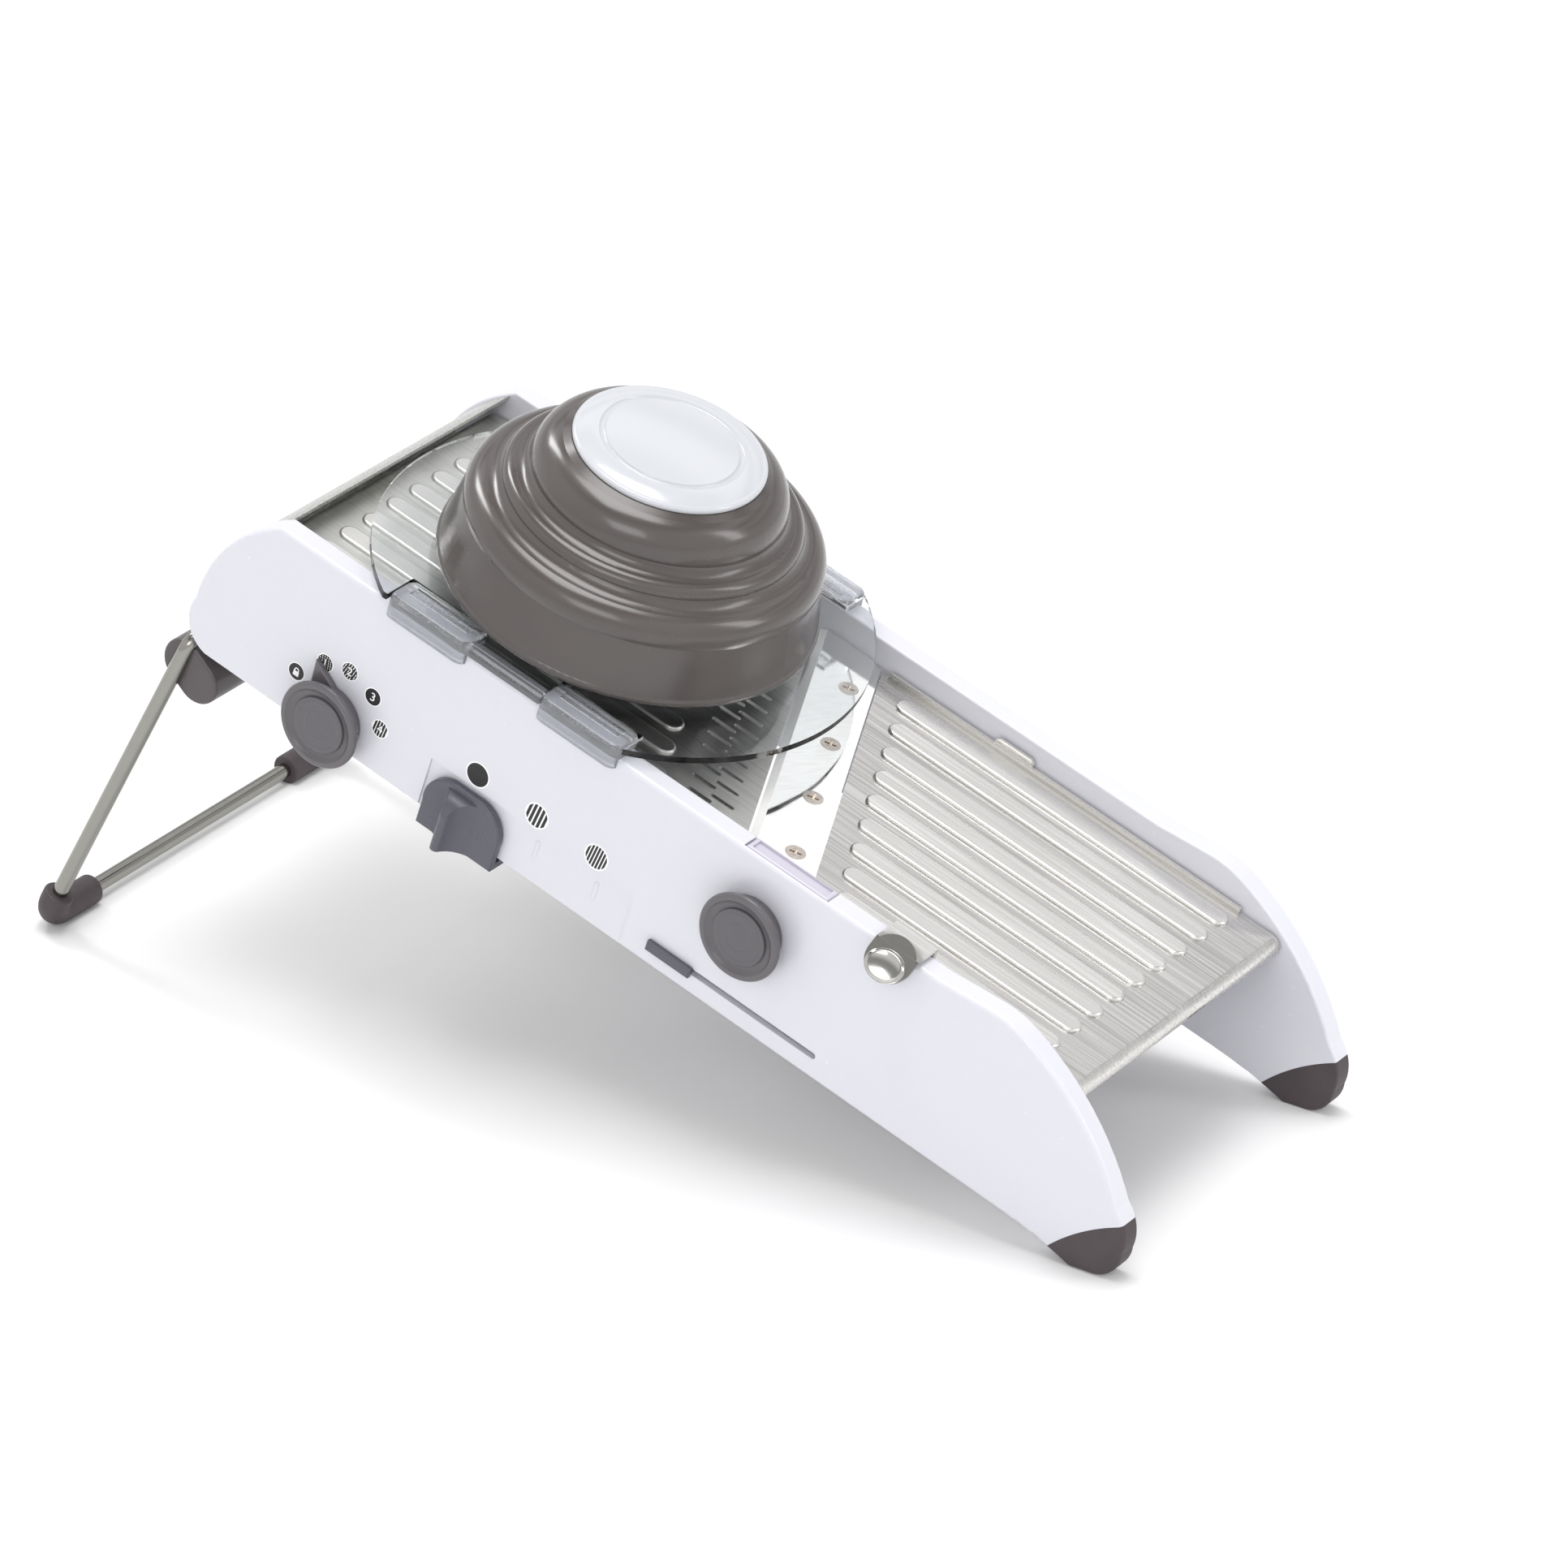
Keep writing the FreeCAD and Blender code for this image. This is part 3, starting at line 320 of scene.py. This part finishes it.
def brushed_steel(name, code, run, line, lean, low, high, lift, streaks=0.55, crest=None, thumb=None):
    """Stainless brushed one way: noise stretched to run by line (metres) gives the scratches, a
    second, broader one gives the soft bands that wander along them. Above the crest height the
    tops of the ribs are painted brighter, a painted highlight. Around the thumb's spot the metal is
    smoother, and its colour is painted a darker grey, a painted shade."""
    steel = new_finish(name)
    place = add(steel, "TexCoord")
    turned = {"vector_type": "TEXTURE", "Rotation": (0.0, DECK_LEAN, lean)}
    fine = add(steel, "Mapping", {**turned, "Scale": (run, line, line)}, {"Vector": place.outputs["Object"]})
    broad = add(steel, "Mapping", {**turned, "Scale": (run * 2, line * 9, line * 9)},
                {"Vector": place.outputs["Object"]})
    scratch = add(steel, "TexNoise", {"Scale": 1.0, "Detail": 1.0}, {"Vector": fine.outputs["Vector"]})
    band = add(steel, "TexNoise", {"Scale": 1.0, "Detail": 2.0}, {"Vector": broad.outputs["Vector"]})
    both = add(steel, "Math", {"operation": "ADD"}, {0: scratch.outputs["Fac"], 1: band.outputs["Fac"]})
    gloss = add(steel, "MapRange", {"From Min": 0.7, "From Max": 1.3, "To Min": low, "To Max": high},
                {"Value": both.outputs["Value"]})
    streak = add(steel, "MapRange", {"From Min": 0.42, "From Max": 0.72, "To Max": streaks},
                 {"Value": scratch.outputs["Fac"]})
    shade = add(steel, "MixRGB", {"Color1": linear(code), "Color2": linear("#8E8E8B")},
                {"Fac": streak.outputs["Result"]})
    colour, rough = shade.outputs["Color"], gloss.outputs["Result"]
    skin = add(steel, "Bump", {"Strength": lift, "Distance": 0.00004}, {"Height": band.outputs["Fac"]})
    # Painted highlight: above the crest height the colour is mixed towards near-white, so the rib tops look
    # lit.
    if crest is not None:
        level = add(steel, "Mapping", {"vector_type": "TEXTURE", "Location": tuple(deck(0, 0, crest)),
                                       "Rotation": (0.0, DECK_LEAN, 0.0)}, {"Vector": place.outputs["Object"]})
        parts = add(steel, "SeparateXYZ", {}, {"Vector": level.outputs["Vector"]})
        top = add(steel, "MapRange", {"From Min": 0.0005, "From Max": 0.0011, "To Max": 0.6},
                  {"Value": parts.outputs["Z"]})
        rib_tops_painted_highlight = add(steel, "MixRGB", {"Color2": linear("#F4F3EF")}, {"Fac": top.outputs["Result"],
                                                                      "Color1": colour})
        colour = rib_tops_painted_highlight.outputs["Color"]
    # Painted shade: within about 13 mm of the thumb's spot the colour is darkened to grey; the roughness is
    # lowered there too.
    if thumb is not None:
        spot = add(steel, "Mapping", {"vector_type": "TEXTURE", "Location": tuple(deck(*thumb))},
                   {"Vector": place.outputs["Object"]})
        away = add(steel, "VectorMath", {"operation": "LENGTH"}, {0: spot.outputs["Vector"]})
        outside = add(steel, "MapRange", {"From Min": 0.0125, "From Max": 0.0145},
                      {"Value": away.outputs["Value"]})
        matt = add(steel, "MixRGB", {"Color1": (0.16, 0.16, 0.16, 1)}, {"Fac": outside.outputs["Result"],
                                                                        "Color2": rough})
        thumb_spot_painted_shade = add(steel, "MixRGB", {"Color1": linear("#A6A5A1")}, {"Fac": outside.outputs["Result"],
                                                                      "Color2": colour})
        colour, rough = thumb_spot_painted_shade.outputs["Color"], matt.outputs["Color"]
    body = add(steel, "BsdfPrincipled", {"Metallic": 1.0},
               {"Base Color": colour, "Roughness": rough, "Normal": skin.outputs["Normal"]})
    add(steel, "OutputMaterial", {}, {"Surface": body.outputs["BSDF"]})
    return steel


# Real brush lines are about 0.05 mm apart; they are drawn 1.1 mm apart, so that they show.
BRUSH_RUN, BRUSH_GAP = 0.06, 0.0011
TRAY_FACE, RAMP_FACE = 58.1, 56.7
THUMB = (-107.5, -6.9, 66.8)
# Both sheets get the painted highlight on their rib tops; the tray also gets the painted shade round the
# thumb's spot.
tray_steel = brushed_steel("brushed_stainless_tray", "#DAD8D5", BRUSH_RUN, BRUSH_GAP, 0.0,
                           0.2, 0.36, 0.35, 0.4, crest=TRAY_FACE, thumb=THUMB)
clothe(tray_steel, "tray_plate")
ramp_steel = brushed_steel("brushed_stainless_ramp", "#DCDCD8", BRUSH_RUN, BRUSH_GAP, 0.0,
                           0.34, 0.46, 0.12, 0.25, crest=RAMP_FACE)
clothe(ramp_steel, "ramp_plate")
sheet_steel = brushed_steel("brushed_stainless_sheet", "#D2D2CE", BRUSH_RUN, BRUSH_GAP, 0.0,
                            0.24, 0.40, 0.35)
clothe(sheet_steel, "rear_cover", "stand_bracket")

# The lifting tab's thumb rest: a spoon pressed into its drooping end, with a rolled rim.
# In profile the metal is low in the middle, climbs to the rim and falls back to the tab outside it.
SPOON_R, SPOON_RIM, TAB_DROOP = 6.9, 0.75, math.radians(38)
RIM_AT, OUTSIDE_RIM = 0.8, 0.2      # shares of the radius inside and outside the rim
across, around = np.meshgrid(np.linspace(0, 1, 28), np.linspace(0, 2 * np.pi, 72, endpoint=False),
                             indexing="ij")
climb = np.clip(across / RIM_AT, 0, 1)
fall = np.clip((across - RIM_AT) / OUTSIDE_RIM, 0, 1)
rise = 0.05 + SPOON_RIM * climb ** 2.2 * (1 + np.cos(np.pi * fall)) / 2 - 0.15 * fall
along_deck = SPOON_R * 1.1 * across * np.cos(around)
down_slope = SPOON_R * 0.88 * across * np.sin(around)
spoon = deck(THUMB[0] + along_deck,
             THUMB[1] + down_slope * math.cos(TAB_DROOP) - rise * math.sin(TAB_DROOP),
             THUMB[2] + down_slope * math.sin(TAB_DROOP) + rise * math.cos(TAB_DROOP))
cells = np.arange(across.size).reshape(across.shape)
turned = np.roll(cells, -1, axis=1)
skirt = np.stack([cells[1:-1], cells[2:], turned[2:], turned[1:-1]], axis=-1).reshape(-1, 4)
centre = np.stack([np.zeros(across.shape[1], int), cells[1], turned[1]], axis=-1)
spoon_faces = skirt.tolist() + centre.tolist()
spoon_points = np.concatenate([spoon[:1, 0], spoon[1:].reshape(-1, 3)])
shift = across.shape[1] - 1
spoon_faces = [[max(corner - shift, 0) for corner in face] for face in spoon_faces]
# The spoon's colour is darker than the tray's steel, a painted shade.
polished_steel = brushed_steel("polished_stainless_painted_shade", "#BDBCB8", 0.02, 0.0008, 0.0,
                               0.12, 0.18, 0.05, 0.1)
thumb_spoon = mesh_piece("thumb_spoon", spoon_points, spoon_faces, polished_steel, "tray", "steel_sheet")
thumb_spoon.data.polygons.foreach_set("use_smooth", np.ones(len(spoon_faces), bool))

# ---------------------------------------------------------------------------
# Cutting blade and the two combs: hardened stainless, ground and polished to a mirror.
# Faint grinding lines run with the blade; four countersunk screws hold it to its bed.

blade_steel = brushed_steel("mirror_polished_blade_steel", "#F0F0EE", 0.03, 0.0012, 1.13,
                            0.05, 0.1, 0.03, 0.06)
nodes = blade_steel.node_tree.nodes
place = add(blade_steel, "TexCoord")
sway = add(blade_steel, "TexNoise", {"Scale": 26.0, "Detail": 1.0}, {"Vector": place.outputs["Object"]})
skin = add(blade_steel, "Bump", {"Strength": 1.0, "Distance": 0.0006},
           {"Height": sway.outputs["Fac"], "Normal": nodes["Bump"].outputs["Normal"]})
blade_steel.node_tree.links.new(skin.outputs["Normal"], nodes["Principled BSDF"].inputs["Normal"])
# The strip behind the cutting edge is ground, not polished: 3.3 mm wide along the deck, satin and paler.
EDGE_U, EDGE_SKEW, BEVEL = -178.2, 0.466, 0.0033
level = add(blade_steel, "Mapping", {"vector_type": "TEXTURE", "Location": tuple(deck(EDGE_U, 9.0, 0.0)),
                                     "Rotation": (0.0, DECK_LEAN, 0.0)}, {"Vector": place.outputs["Object"]})
parts = add(blade_steel, "SeparateXYZ", {}, {"Vector": level.outputs["Vector"]})
behind = add(blade_steel, "Math", {"operation": "MULTIPLY_ADD", 1: EDGE_SKEW},
             {0: parts.outputs["Y"], 2: parts.outputs["X"]})
ground = add(blade_steel, "MapRange",
             {"From Min": BEVEL, "From Max": BEVEL + 0.0001, "To Min": 1.0, "To Max": 0.0},
             {"Value": behind.outputs["Value"]})
matt = add(blade_steel, "MixRGB", {"Color2": (0.6, 0.6, 0.6, 1)},
           {"Fac": ground.outputs["Result"], "Color1": nodes["Map Range"].outputs["Result"]})
blade_steel.node_tree.links.new(matt.outputs["Color"], nodes["Principled BSDF"].inputs["Roughness"])
pale = add(blade_steel, "MapRange", {"To Min": 1.0, "To Max": 0.15}, {"Value": ground.outputs["Result"]})
blade_steel.node_tree.links.new(pale.outputs["Result"], nodes["Principled BSDF"].inputs["Metallic"])
clothe(blade_steel, "blade_plate", "wide_comb", "narrow_comb")

screw_steel = brushed_steel("turned_screw_steel", "#D6CDC4", 0.002, 0.0006, 0.0, 0.2, 0.3, 0.2, 0.3)
clothe(screw_steel, "blade_screws", "ramp_hinge_pin", "tray_hinge_pin", "dial_shaft", "blade_knob_shaft",
       "stand_axle")

# Drawn and polished stainless rod, with faint drawing marks along its length. Its colour is darkened, a painted
# shade standing for dark reflections.
rod_steel = brushed_steel("drawn_stainless_rod", "#96958F", 0.006, 0.004, 0.0, 0.1, 0.18, 0.05, 0.15)
clothe(rod_steel, "stand_arm_near", "stand_arm_far", "stand_crossbar")

# ---------------------------------------------------------------------------
# Cassette grip: the end of the blade cassette that shows in the wall's notch.
# Pale lavender-white ABS with the same gloss as the walls.

lavender = new_finish("glossy_moulded_ABS_lavender")
place = add(lavender, "TexCoord")
peel = add(lavender, "TexNoise", {"Scale": 200.0, "Detail": 2.0}, {"Vector": place.outputs["Object"]})
gloss = add(lavender, "MapRange", {"To Min": 0.28, "To Max": 0.4}, {"Value": peel.outputs["Fac"]})
skin = add(lavender, "Bump", {"Strength": 0.3, "Distance": 0.00005}, {"Height": peel.outputs["Fac"]})
body = add(lavender, "BsdfPrincipled", {"Base Color": linear("#C6C2CE"), "IOR": 1.53},
           {"Roughness": gloss.outputs["Result"], "Normal": skin.outputs["Normal"]})
add(lavender, "OutputMaterial", {}, {"Surface": body.outputs["BSDF"]})
clothe(lavender, "cassette_grip")

# ---------------------------------------------------------------------------
# Thickness dial and blade knob, with their caps and small drive parts.
# Satin grey ABS; each face is a pressed-in cap with two shallow rings moulded in it.


KNOB_R = 0.0165           # radius of the dial and the knob, in metres


def satin_grey(name, code, centre=None):
    """Fine spark-eroded texture about 0.6 mm across. With a centre, rings are raised on the face:
    the distance from the knob's axis is passed through a ramp with a peak at each ring."""
    grey = new_finish(name)
    place = add(grey, "TexCoord")
    grain = add(grey, "TexNoise", {"Scale": 1700.0, "Detail": 2.0}, {"Vector": place.outputs["Object"]})
    wear = add(grey, "TexNoise", {"Scale": 80.0, "Detail": 5.0}, {"Vector": place.outputs["Object"]})
    gloss = add(grey, "MapRange", {"From Min": 0.3, "From Max": 0.7, "To Min": 0.25, "To Max": 0.37},
                {"Value": wear.outputs["Fac"]})
    skin = add(grey, "Bump", {"Strength": 0.3, "Distance": 0.00003}, {"Height": grain.outputs["Fac"]})
    if centre is not None:
        local = add(grey, "Mapping", {"vector_type": "TEXTURE", "Location": tuple(centre),
                                      "Rotation": (0.0, DECK_LEAN, 0.0)}, {"Vector": place.outputs["Object"]})
        flat = add(grey, "VectorMath", {"operation": "MULTIPLY", 1: (1.0, 0.0, 1.0)},
                   {0: local.outputs["Vector"]})
        away = add(grey, "VectorMath", {"operation": "LENGTH"}, {0: flat.outputs["Vector"]})
        share = add(grey, "Math", {"operation": "DIVIDE", 1: KNOB_R}, {0: away.outputs["Value"]})
        rings = add(grey, "ValToRGB", {}, {"Fac": share.outputs["Value"]})
        steps = rings.color_ramp.elements
        steps[0].position, steps[0].color = 0.30, (0, 0, 0, 1)
        steps[1].position, steps[1].color = 0.32, (1, 1, 1, 1)
        for spot, level in ((0.34, 0.0), (0.535, 0.0), (0.555, 1.0), (0.575, 0.0)):
            steps.new(spot).color = (level, level, level, 1)
        skin = add(grey, "Bump", {"Strength": 0.6, "Distance": 0.0002},
                   {"Height": rings.outputs["Color"], "Normal": skin.outputs["Normal"]})
    body = add(grey, "BsdfPrincipled", {"Base Color": linear(code), "IOR": 1.53},
               {"Roughness": gloss.outputs["Result"], "Normal": skin.outputs["Normal"]})
    add(grey, "OutputMaterial", {}, {"Surface": body.outputs["BSDF"]})
    return grey


knob_grey = satin_grey("satin_moulded_ABS_grey", "#5E5B5F")
clothe(knob_grey, "thickness_dial", "blade_knob", "dial_pinion_near", "dial_pinion_far",
       "thickness_rack_near", "thickness_rack_far", "lock_cam")
clothe(satin_grey("satin_ABS_dial_cap", "#58565A", deck(DIAL_U, 0.0, DIAL_W)), "dial_cap")
clothe(satin_grey("satin_ABS_knob_cap", "#58565A", deck(KNOB_U, 0.0, KNOB_W)), "blade_knob_cap")

# ---------------------------------------------------------------------------
# Julienne selector, its slide frame, and the slide catch below the knob.
# The same satin plastic in a cooler blue grey.

slider_grey = satin_grey("satin_moulded_ABS_blue_grey", "#52525C")
clothe(slider_grey, "julienne_selector", "julienne_slide_frame", "catch_slider", "catch_bar")

# Stand hubs: satin plastic pads, darker and browner than the knobs.
clothe(satin_grey("satin_moulded_PP_brown_grey", "#4E4749"), "stand_hub_near", "stand_hub_far")

# ---------------------------------------------------------------------------
# Food guard: flange, chamber, runners and food plate.
# Crystal-clear SAN, moulded about 2.5 mm thick; light gathers in its edges.

clear_san = new_finish("crystal_clear_moulded_SAN")
place = add(clear_san, "TexCoord")
flow = add(clear_san, "TexNoise", {"Scale": 45.0, "Detail": 2.0}, {"Vector": place.outputs["Object"]})
smear = add(clear_san, "MapRange", {"From Min": 0.4, "From Max": 0.7, "To Min": 0.0, "To Max": 0.05},
            {"Value": flow.outputs["Fac"]})
skin = add(clear_san, "Bump", {"Strength": 0.12, "Distance": 0.0003}, {"Height": flow.outputs["Fac"]})
body = add(clear_san, "BsdfPrincipled",
           {"Base Color": linear("#F2F4F5"), "IOR": 1.42, "Transmission Weight": 1.0},
           {"Roughness": smear.outputs["Result"], "Normal": skin.outputs["Normal"]})
add(clear_san, "OutputMaterial", {}, {"Surface": body.outputs["BSDF"]})
clothe(clear_san, "guard_base", "pusher_plate")
# The chamber's collar, between two heights, is moulded thick and reads as pale and milky.
nodes = clear_san.node_tree.nodes
level = add(clear_san, "Mapping", {"vector_type": "TEXTURE", "Location": tuple(deck(0, 0, 76.0)),
                                   "Rotation": (0.0, DECK_LEAN, 0.0)}, {"Vector": place.outputs["Object"]})
parts = add(clear_san, "SeparateXYZ", {}, {"Vector": level.outputs["Vector"]})
reach = add(clear_san, "Math", {"operation": "ABSOLUTE"}, {0: parts.outputs["Z"]})
milky = add(clear_san, "MapRange", {"From Min": 0.0012, "From Max": 0.0014, "To Min": 0.35, "To Max": 1.0},
            {"Value": reach.outputs["Value"]})
clear_san.node_tree.links.new(milky.outputs["Result"], nodes["Principled BSDF"].inputs["Transmission Weight"])

# The runners are the same plastic, thicker and with a fine frosted texture on their top pads.
frosted_san = new_finish("frosted_moulded_SAN")
place = add(frosted_san, "TexCoord")
frost = add(frosted_san, "TexNoise", {"Scale": 1500.0, "Detail": 2.0}, {"Vector": place.outputs["Object"]})
level = add(frosted_san, "Mapping", {"vector_type": "TEXTURE", "Location": tuple(deck(0, 0, 74.2)),
                                     "Rotation": (0.0, DECK_LEAN, 0.0)}, {"Vector": place.outputs["Object"]})
parts = add(frosted_san, "SeparateXYZ", {}, {"Vector": level.outputs["Vector"]})
reach = add(frosted_san, "Math", {"operation": "ABSOLUTE"}, {0: parts.outputs["Z"]})
pad = add(frosted_san, "MapRange", {"From Min": 0.0002, "From Max": 0.0003, "To Min": 0.45, "To Max": 0.05},
          {"Value": reach.outputs["Value"]})
grain = add(frosted_san, "Math", {"operation": "MULTIPLY"}, {0: frost.outputs["Fac"], 1: pad.outputs["Result"]})
body = add(frosted_san, "BsdfPrincipled",
           {"Base Color": linear("#E2E4E8"), "IOR": 1.42, "Transmission Weight": 0.86},
           {"Roughness": grain.outputs["Value"]})
add(frosted_san, "OutputMaterial", {}, {"Surface": body.outputs["BSDF"]})
clothe(frosted_san, "guard_runner_near", "guard_runner_far")

# ---------------------------------------------------------------------------
# Pusher dome and palm cap.
# The dome is a stepped satin moulding in warm grey; a glossy white cap is set in its crown.

dome_grey = new_finish("satin_moulded_ABS_warm_grey")
place = add(dome_grey, "TexCoord")
grain = add(dome_grey, "TexNoise", {"Scale": 1300.0, "Detail": 2.0}, {"Vector": place.outputs["Object"]})
wear = add(dome_grey, "TexNoise", {"Scale": 30.0, "Detail": 6.0, "Roughness": 0.55},
           {"Vector": place.outputs["Object"]})
gloss = add(dome_grey, "MapRange", {"From Min": 0.3, "From Max": 0.7, "To Min": 0.2, "To Max": 0.29},
            {"Value": wear.outputs["Fac"]})
tint = add(dome_grey, "ValToRGB", {}, {"Fac": wear.outputs["Fac"]})
tint.color_ramp.elements[0].position, tint.color_ramp.elements[0].color = 0.3, linear("#484240")
tint.color_ramp.elements[1].position, tint.color_ramp.elements[1].color = 0.7, linear("#4E4845")
skin = add(dome_grey, "Bump", {"Strength": 0.25, "Distance": 0.00003}, {"Height": grain.outputs["Fac"]})
body = add(dome_grey, "BsdfPrincipled", {"IOR": 1.53, "Coat Weight": 0.4, "Coat Roughness": 0.13},
           {"Base Color": tint.outputs["Color"], "Roughness": gloss.outputs["Result"],
            "Normal": skin.outputs["Normal"]})
add(dome_grey, "OutputMaterial", {}, {"Surface": body.outputs["BSDF"]})
clothe(dome_grey, "pusher_dome")

cap_white = new_finish("high_gloss_ABS_white")
place = add(cap_white, "TexCoord")
peel = add(cap_white, "TexNoise", {"Scale": 140.0, "Detail": 2.0}, {"Vector": place.outputs["Object"]})
gloss = add(cap_white, "MapRange", {"To Min": 0.1, "To Max": 0.18}, {"Value": peel.outputs["Fac"]})
skin = add(cap_white, "Bump", {"Strength": 0.2, "Distance": 0.00005}, {"Height": peel.outputs["Fac"]})
body = add(cap_white, "BsdfPrincipled", {"Base Color": linear("#C3C5C9"), "IOR": 1.53},
           {"Roughness": gloss.outputs["Result"], "Normal": skin.outputs["Normal"]})
add(cap_white, "OutputMaterial", {}, {"Surface": body.outputs["BSDF"]})
clothe(cap_white, "palm_cap")

# ---------------------------------------------------------------------------
# Studio: a pale flat floor, four soft boxes, and the camera.
# The sky is white with grey bands, which the steel and the blade mirror as soft stripes.

floor_paint = new_finish("pale_studio_paint")
place = add(floor_paint, "TexCoord")
mottle = add(floor_paint, "TexNoise", {"Scale": 3.0, "Detail": 2.0}, {"Vector": place.outputs["Object"]})
gloss = add(floor_paint, "MapRange", {"To Min": 0.5, "To Max": 0.6}, {"Value": mottle.outputs["Fac"]})
body = add(floor_paint, "BsdfPrincipled", {"Base Color": linear("#F3F3F3")},
           {"Roughness": gloss.outputs["Result"]})
add(floor_paint, "OutputMaterial", {}, {"Surface": body.outputs["BSDF"]})

# The floor is a flat grid 12 m square, at the height of the soles.
FLOOR_HALF, FLOOR_LINES = 6.0, 13
side = np.linspace(-FLOOR_HALF, FLOOR_HALF, FLOOR_LINES)
floor_x, floor_y = np.meshgrid(side, side, indexing="ij")
floor_points = np.stack([floor_x, floor_y, 0 * floor_x], axis=-1).reshape(-1, 3)
cell = np.arange(FLOOR_LINES ** 2).reshape(FLOOR_LINES, FLOOR_LINES)
floor_faces = np.stack([cell[:-1, :-1], cell[1:, :-1], cell[1:, 1:], cell[:-1, 1:]], axis=-1).reshape(-1, 4)
floor_mesh = bpy.data.meshes.new("studio_floor")
floor_mesh.from_pydata(floor_points.tolist(), [], floor_faces.tolist())
floor_mesh.materials.append(floor_paint)
floor = bpy.data.objects.new("studio_floor", floor_mesh)
bpy.context.scene.collection.objects.link(floor)

world = bpy.data.worlds.new("studio_air")
bpy.context.scene.world = world
world.use_nodes = True
world.node_tree.nodes.clear()
sky_place = add(world, "TexCoord")
sky_parts = add(world, "SeparateXYZ", {}, {"Vector": sky_place.outputs["Generated"]})
sky_ramp = add(world, "ValToRGB", {}, {"Fac": sky_parts.outputs["Z"]})
sky_steps = sky_ramp.color_ramp.elements
sky_steps[0].position, sky_steps[0].color = 0.0, (0.95, 0.95, 0.96, 1)
sky_steps[1].position, sky_steps[1].color = 1.0, (1.0, 1.0, 1.0, 1)
for height, level in ((0.3, 0.7), (0.36, 0.3), (0.42, 0.95), (0.5, 0.95), (0.54, 0.2), (0.59, 0.25),
                      (0.63, 1.2), (0.72, 1.2), (0.77, 0.25), (0.87, 0.35), (0.94, 0.9)):
    sky_steps.new(height).color = (level, level, level * 1.015, 1)
side_share = add(world, "MapRange", {"From Min": -0.1, "From Max": 0.35, "To Min": 1.0, "To Max": 0.0},
                 {"Value": sky_parts.outputs["Y"]})
near_ramp = add(world, "ValToRGB", {}, {"Fac": sky_parts.outputs["Z"]})
near_steps = near_ramp.color_ramp.elements
near_steps[0].position, near_steps[0].color = 0.0, (0.98, 0.98, 0.99, 1)
near_steps[1].position, near_steps[1].color = 1.0, (1.0, 1.0, 1.0, 1)
for height, level in ((0.72, 1.0), (0.84, 0.4), (0.93, 0.45), (0.97, 1.1)):
    near_steps.new(height).color = (level, level, level, 1)
sky_mix = add(world, "MixRGB", {}, {"Fac": side_share.outputs["Result"], "Color1": sky_ramp.outputs["Color"],
                                    "Color2": near_ramp.outputs["Color"]})
air = add(world, "Background", {"Strength": 1.0}, {"Color": sky_mix.outputs["Color"]})
add(world, "OutputWorld", {}, {"Surface": air.outputs["Background"]})
bpy.context.scene.view_settings.view_transform = "Standard"


def soft_box(name, spot, aim, size, power):
    """A rectangular area light at the spot, facing the aim point."""
    data = bpy.data.lights.new(name, "AREA")
    data.shape = "RECTANGLE"
    data.size, data.size_y = size
    data.energy = power
    lamp = bpy.data.objects.new(name, data)
    lamp.location = spot
    lamp.rotation_euler = (Vector(aim) - Vector(spot)).to_track_quat("-Z", "Y").to_euler()
    bpy.context.scene.collection.objects.link(lamp)


soft_box("overhead_soft_box", (0.1, 0.1, 2.4), (0.0, 0.0, 0.0), (1.3, 1.3), 27)
soft_box("left_soft_box", (-1.6, 0.5, 1.9), (0.0, 0.0, 0.2), (0.35, 1.0), 12)
soft_box("front_soft_box", (0.9, -2.3, 1.5), (0.0, 0.0, 0.1), (1.4, 1.0), 11)
soft_box("right_soft_box", (1.7, 0.7, 1.0), (0.0, 0.0, 0.1), (0.4, 1.1), 6)

lens = bpy.data.cameras.new("camera")
lens.lens = 188.4
lens.sensor_width = 36.0
lens.clip_start, lens.clip_end = 0.05, 60.0
camera = bpy.data.objects.new("camera", lens)
camera_spot = Vector((1.5083, -2.1043, 1.4279))
camera_aim = Vector((0.0605, -0.0256, 0.12))
camera.location = camera_spot
camera.rotation_euler = (camera_aim - camera_spot).to_track_quat("-Z", "Y").to_euler()
bpy.context.scene.collection.objects.link(camera)
bpy.context.scene.camera = camera
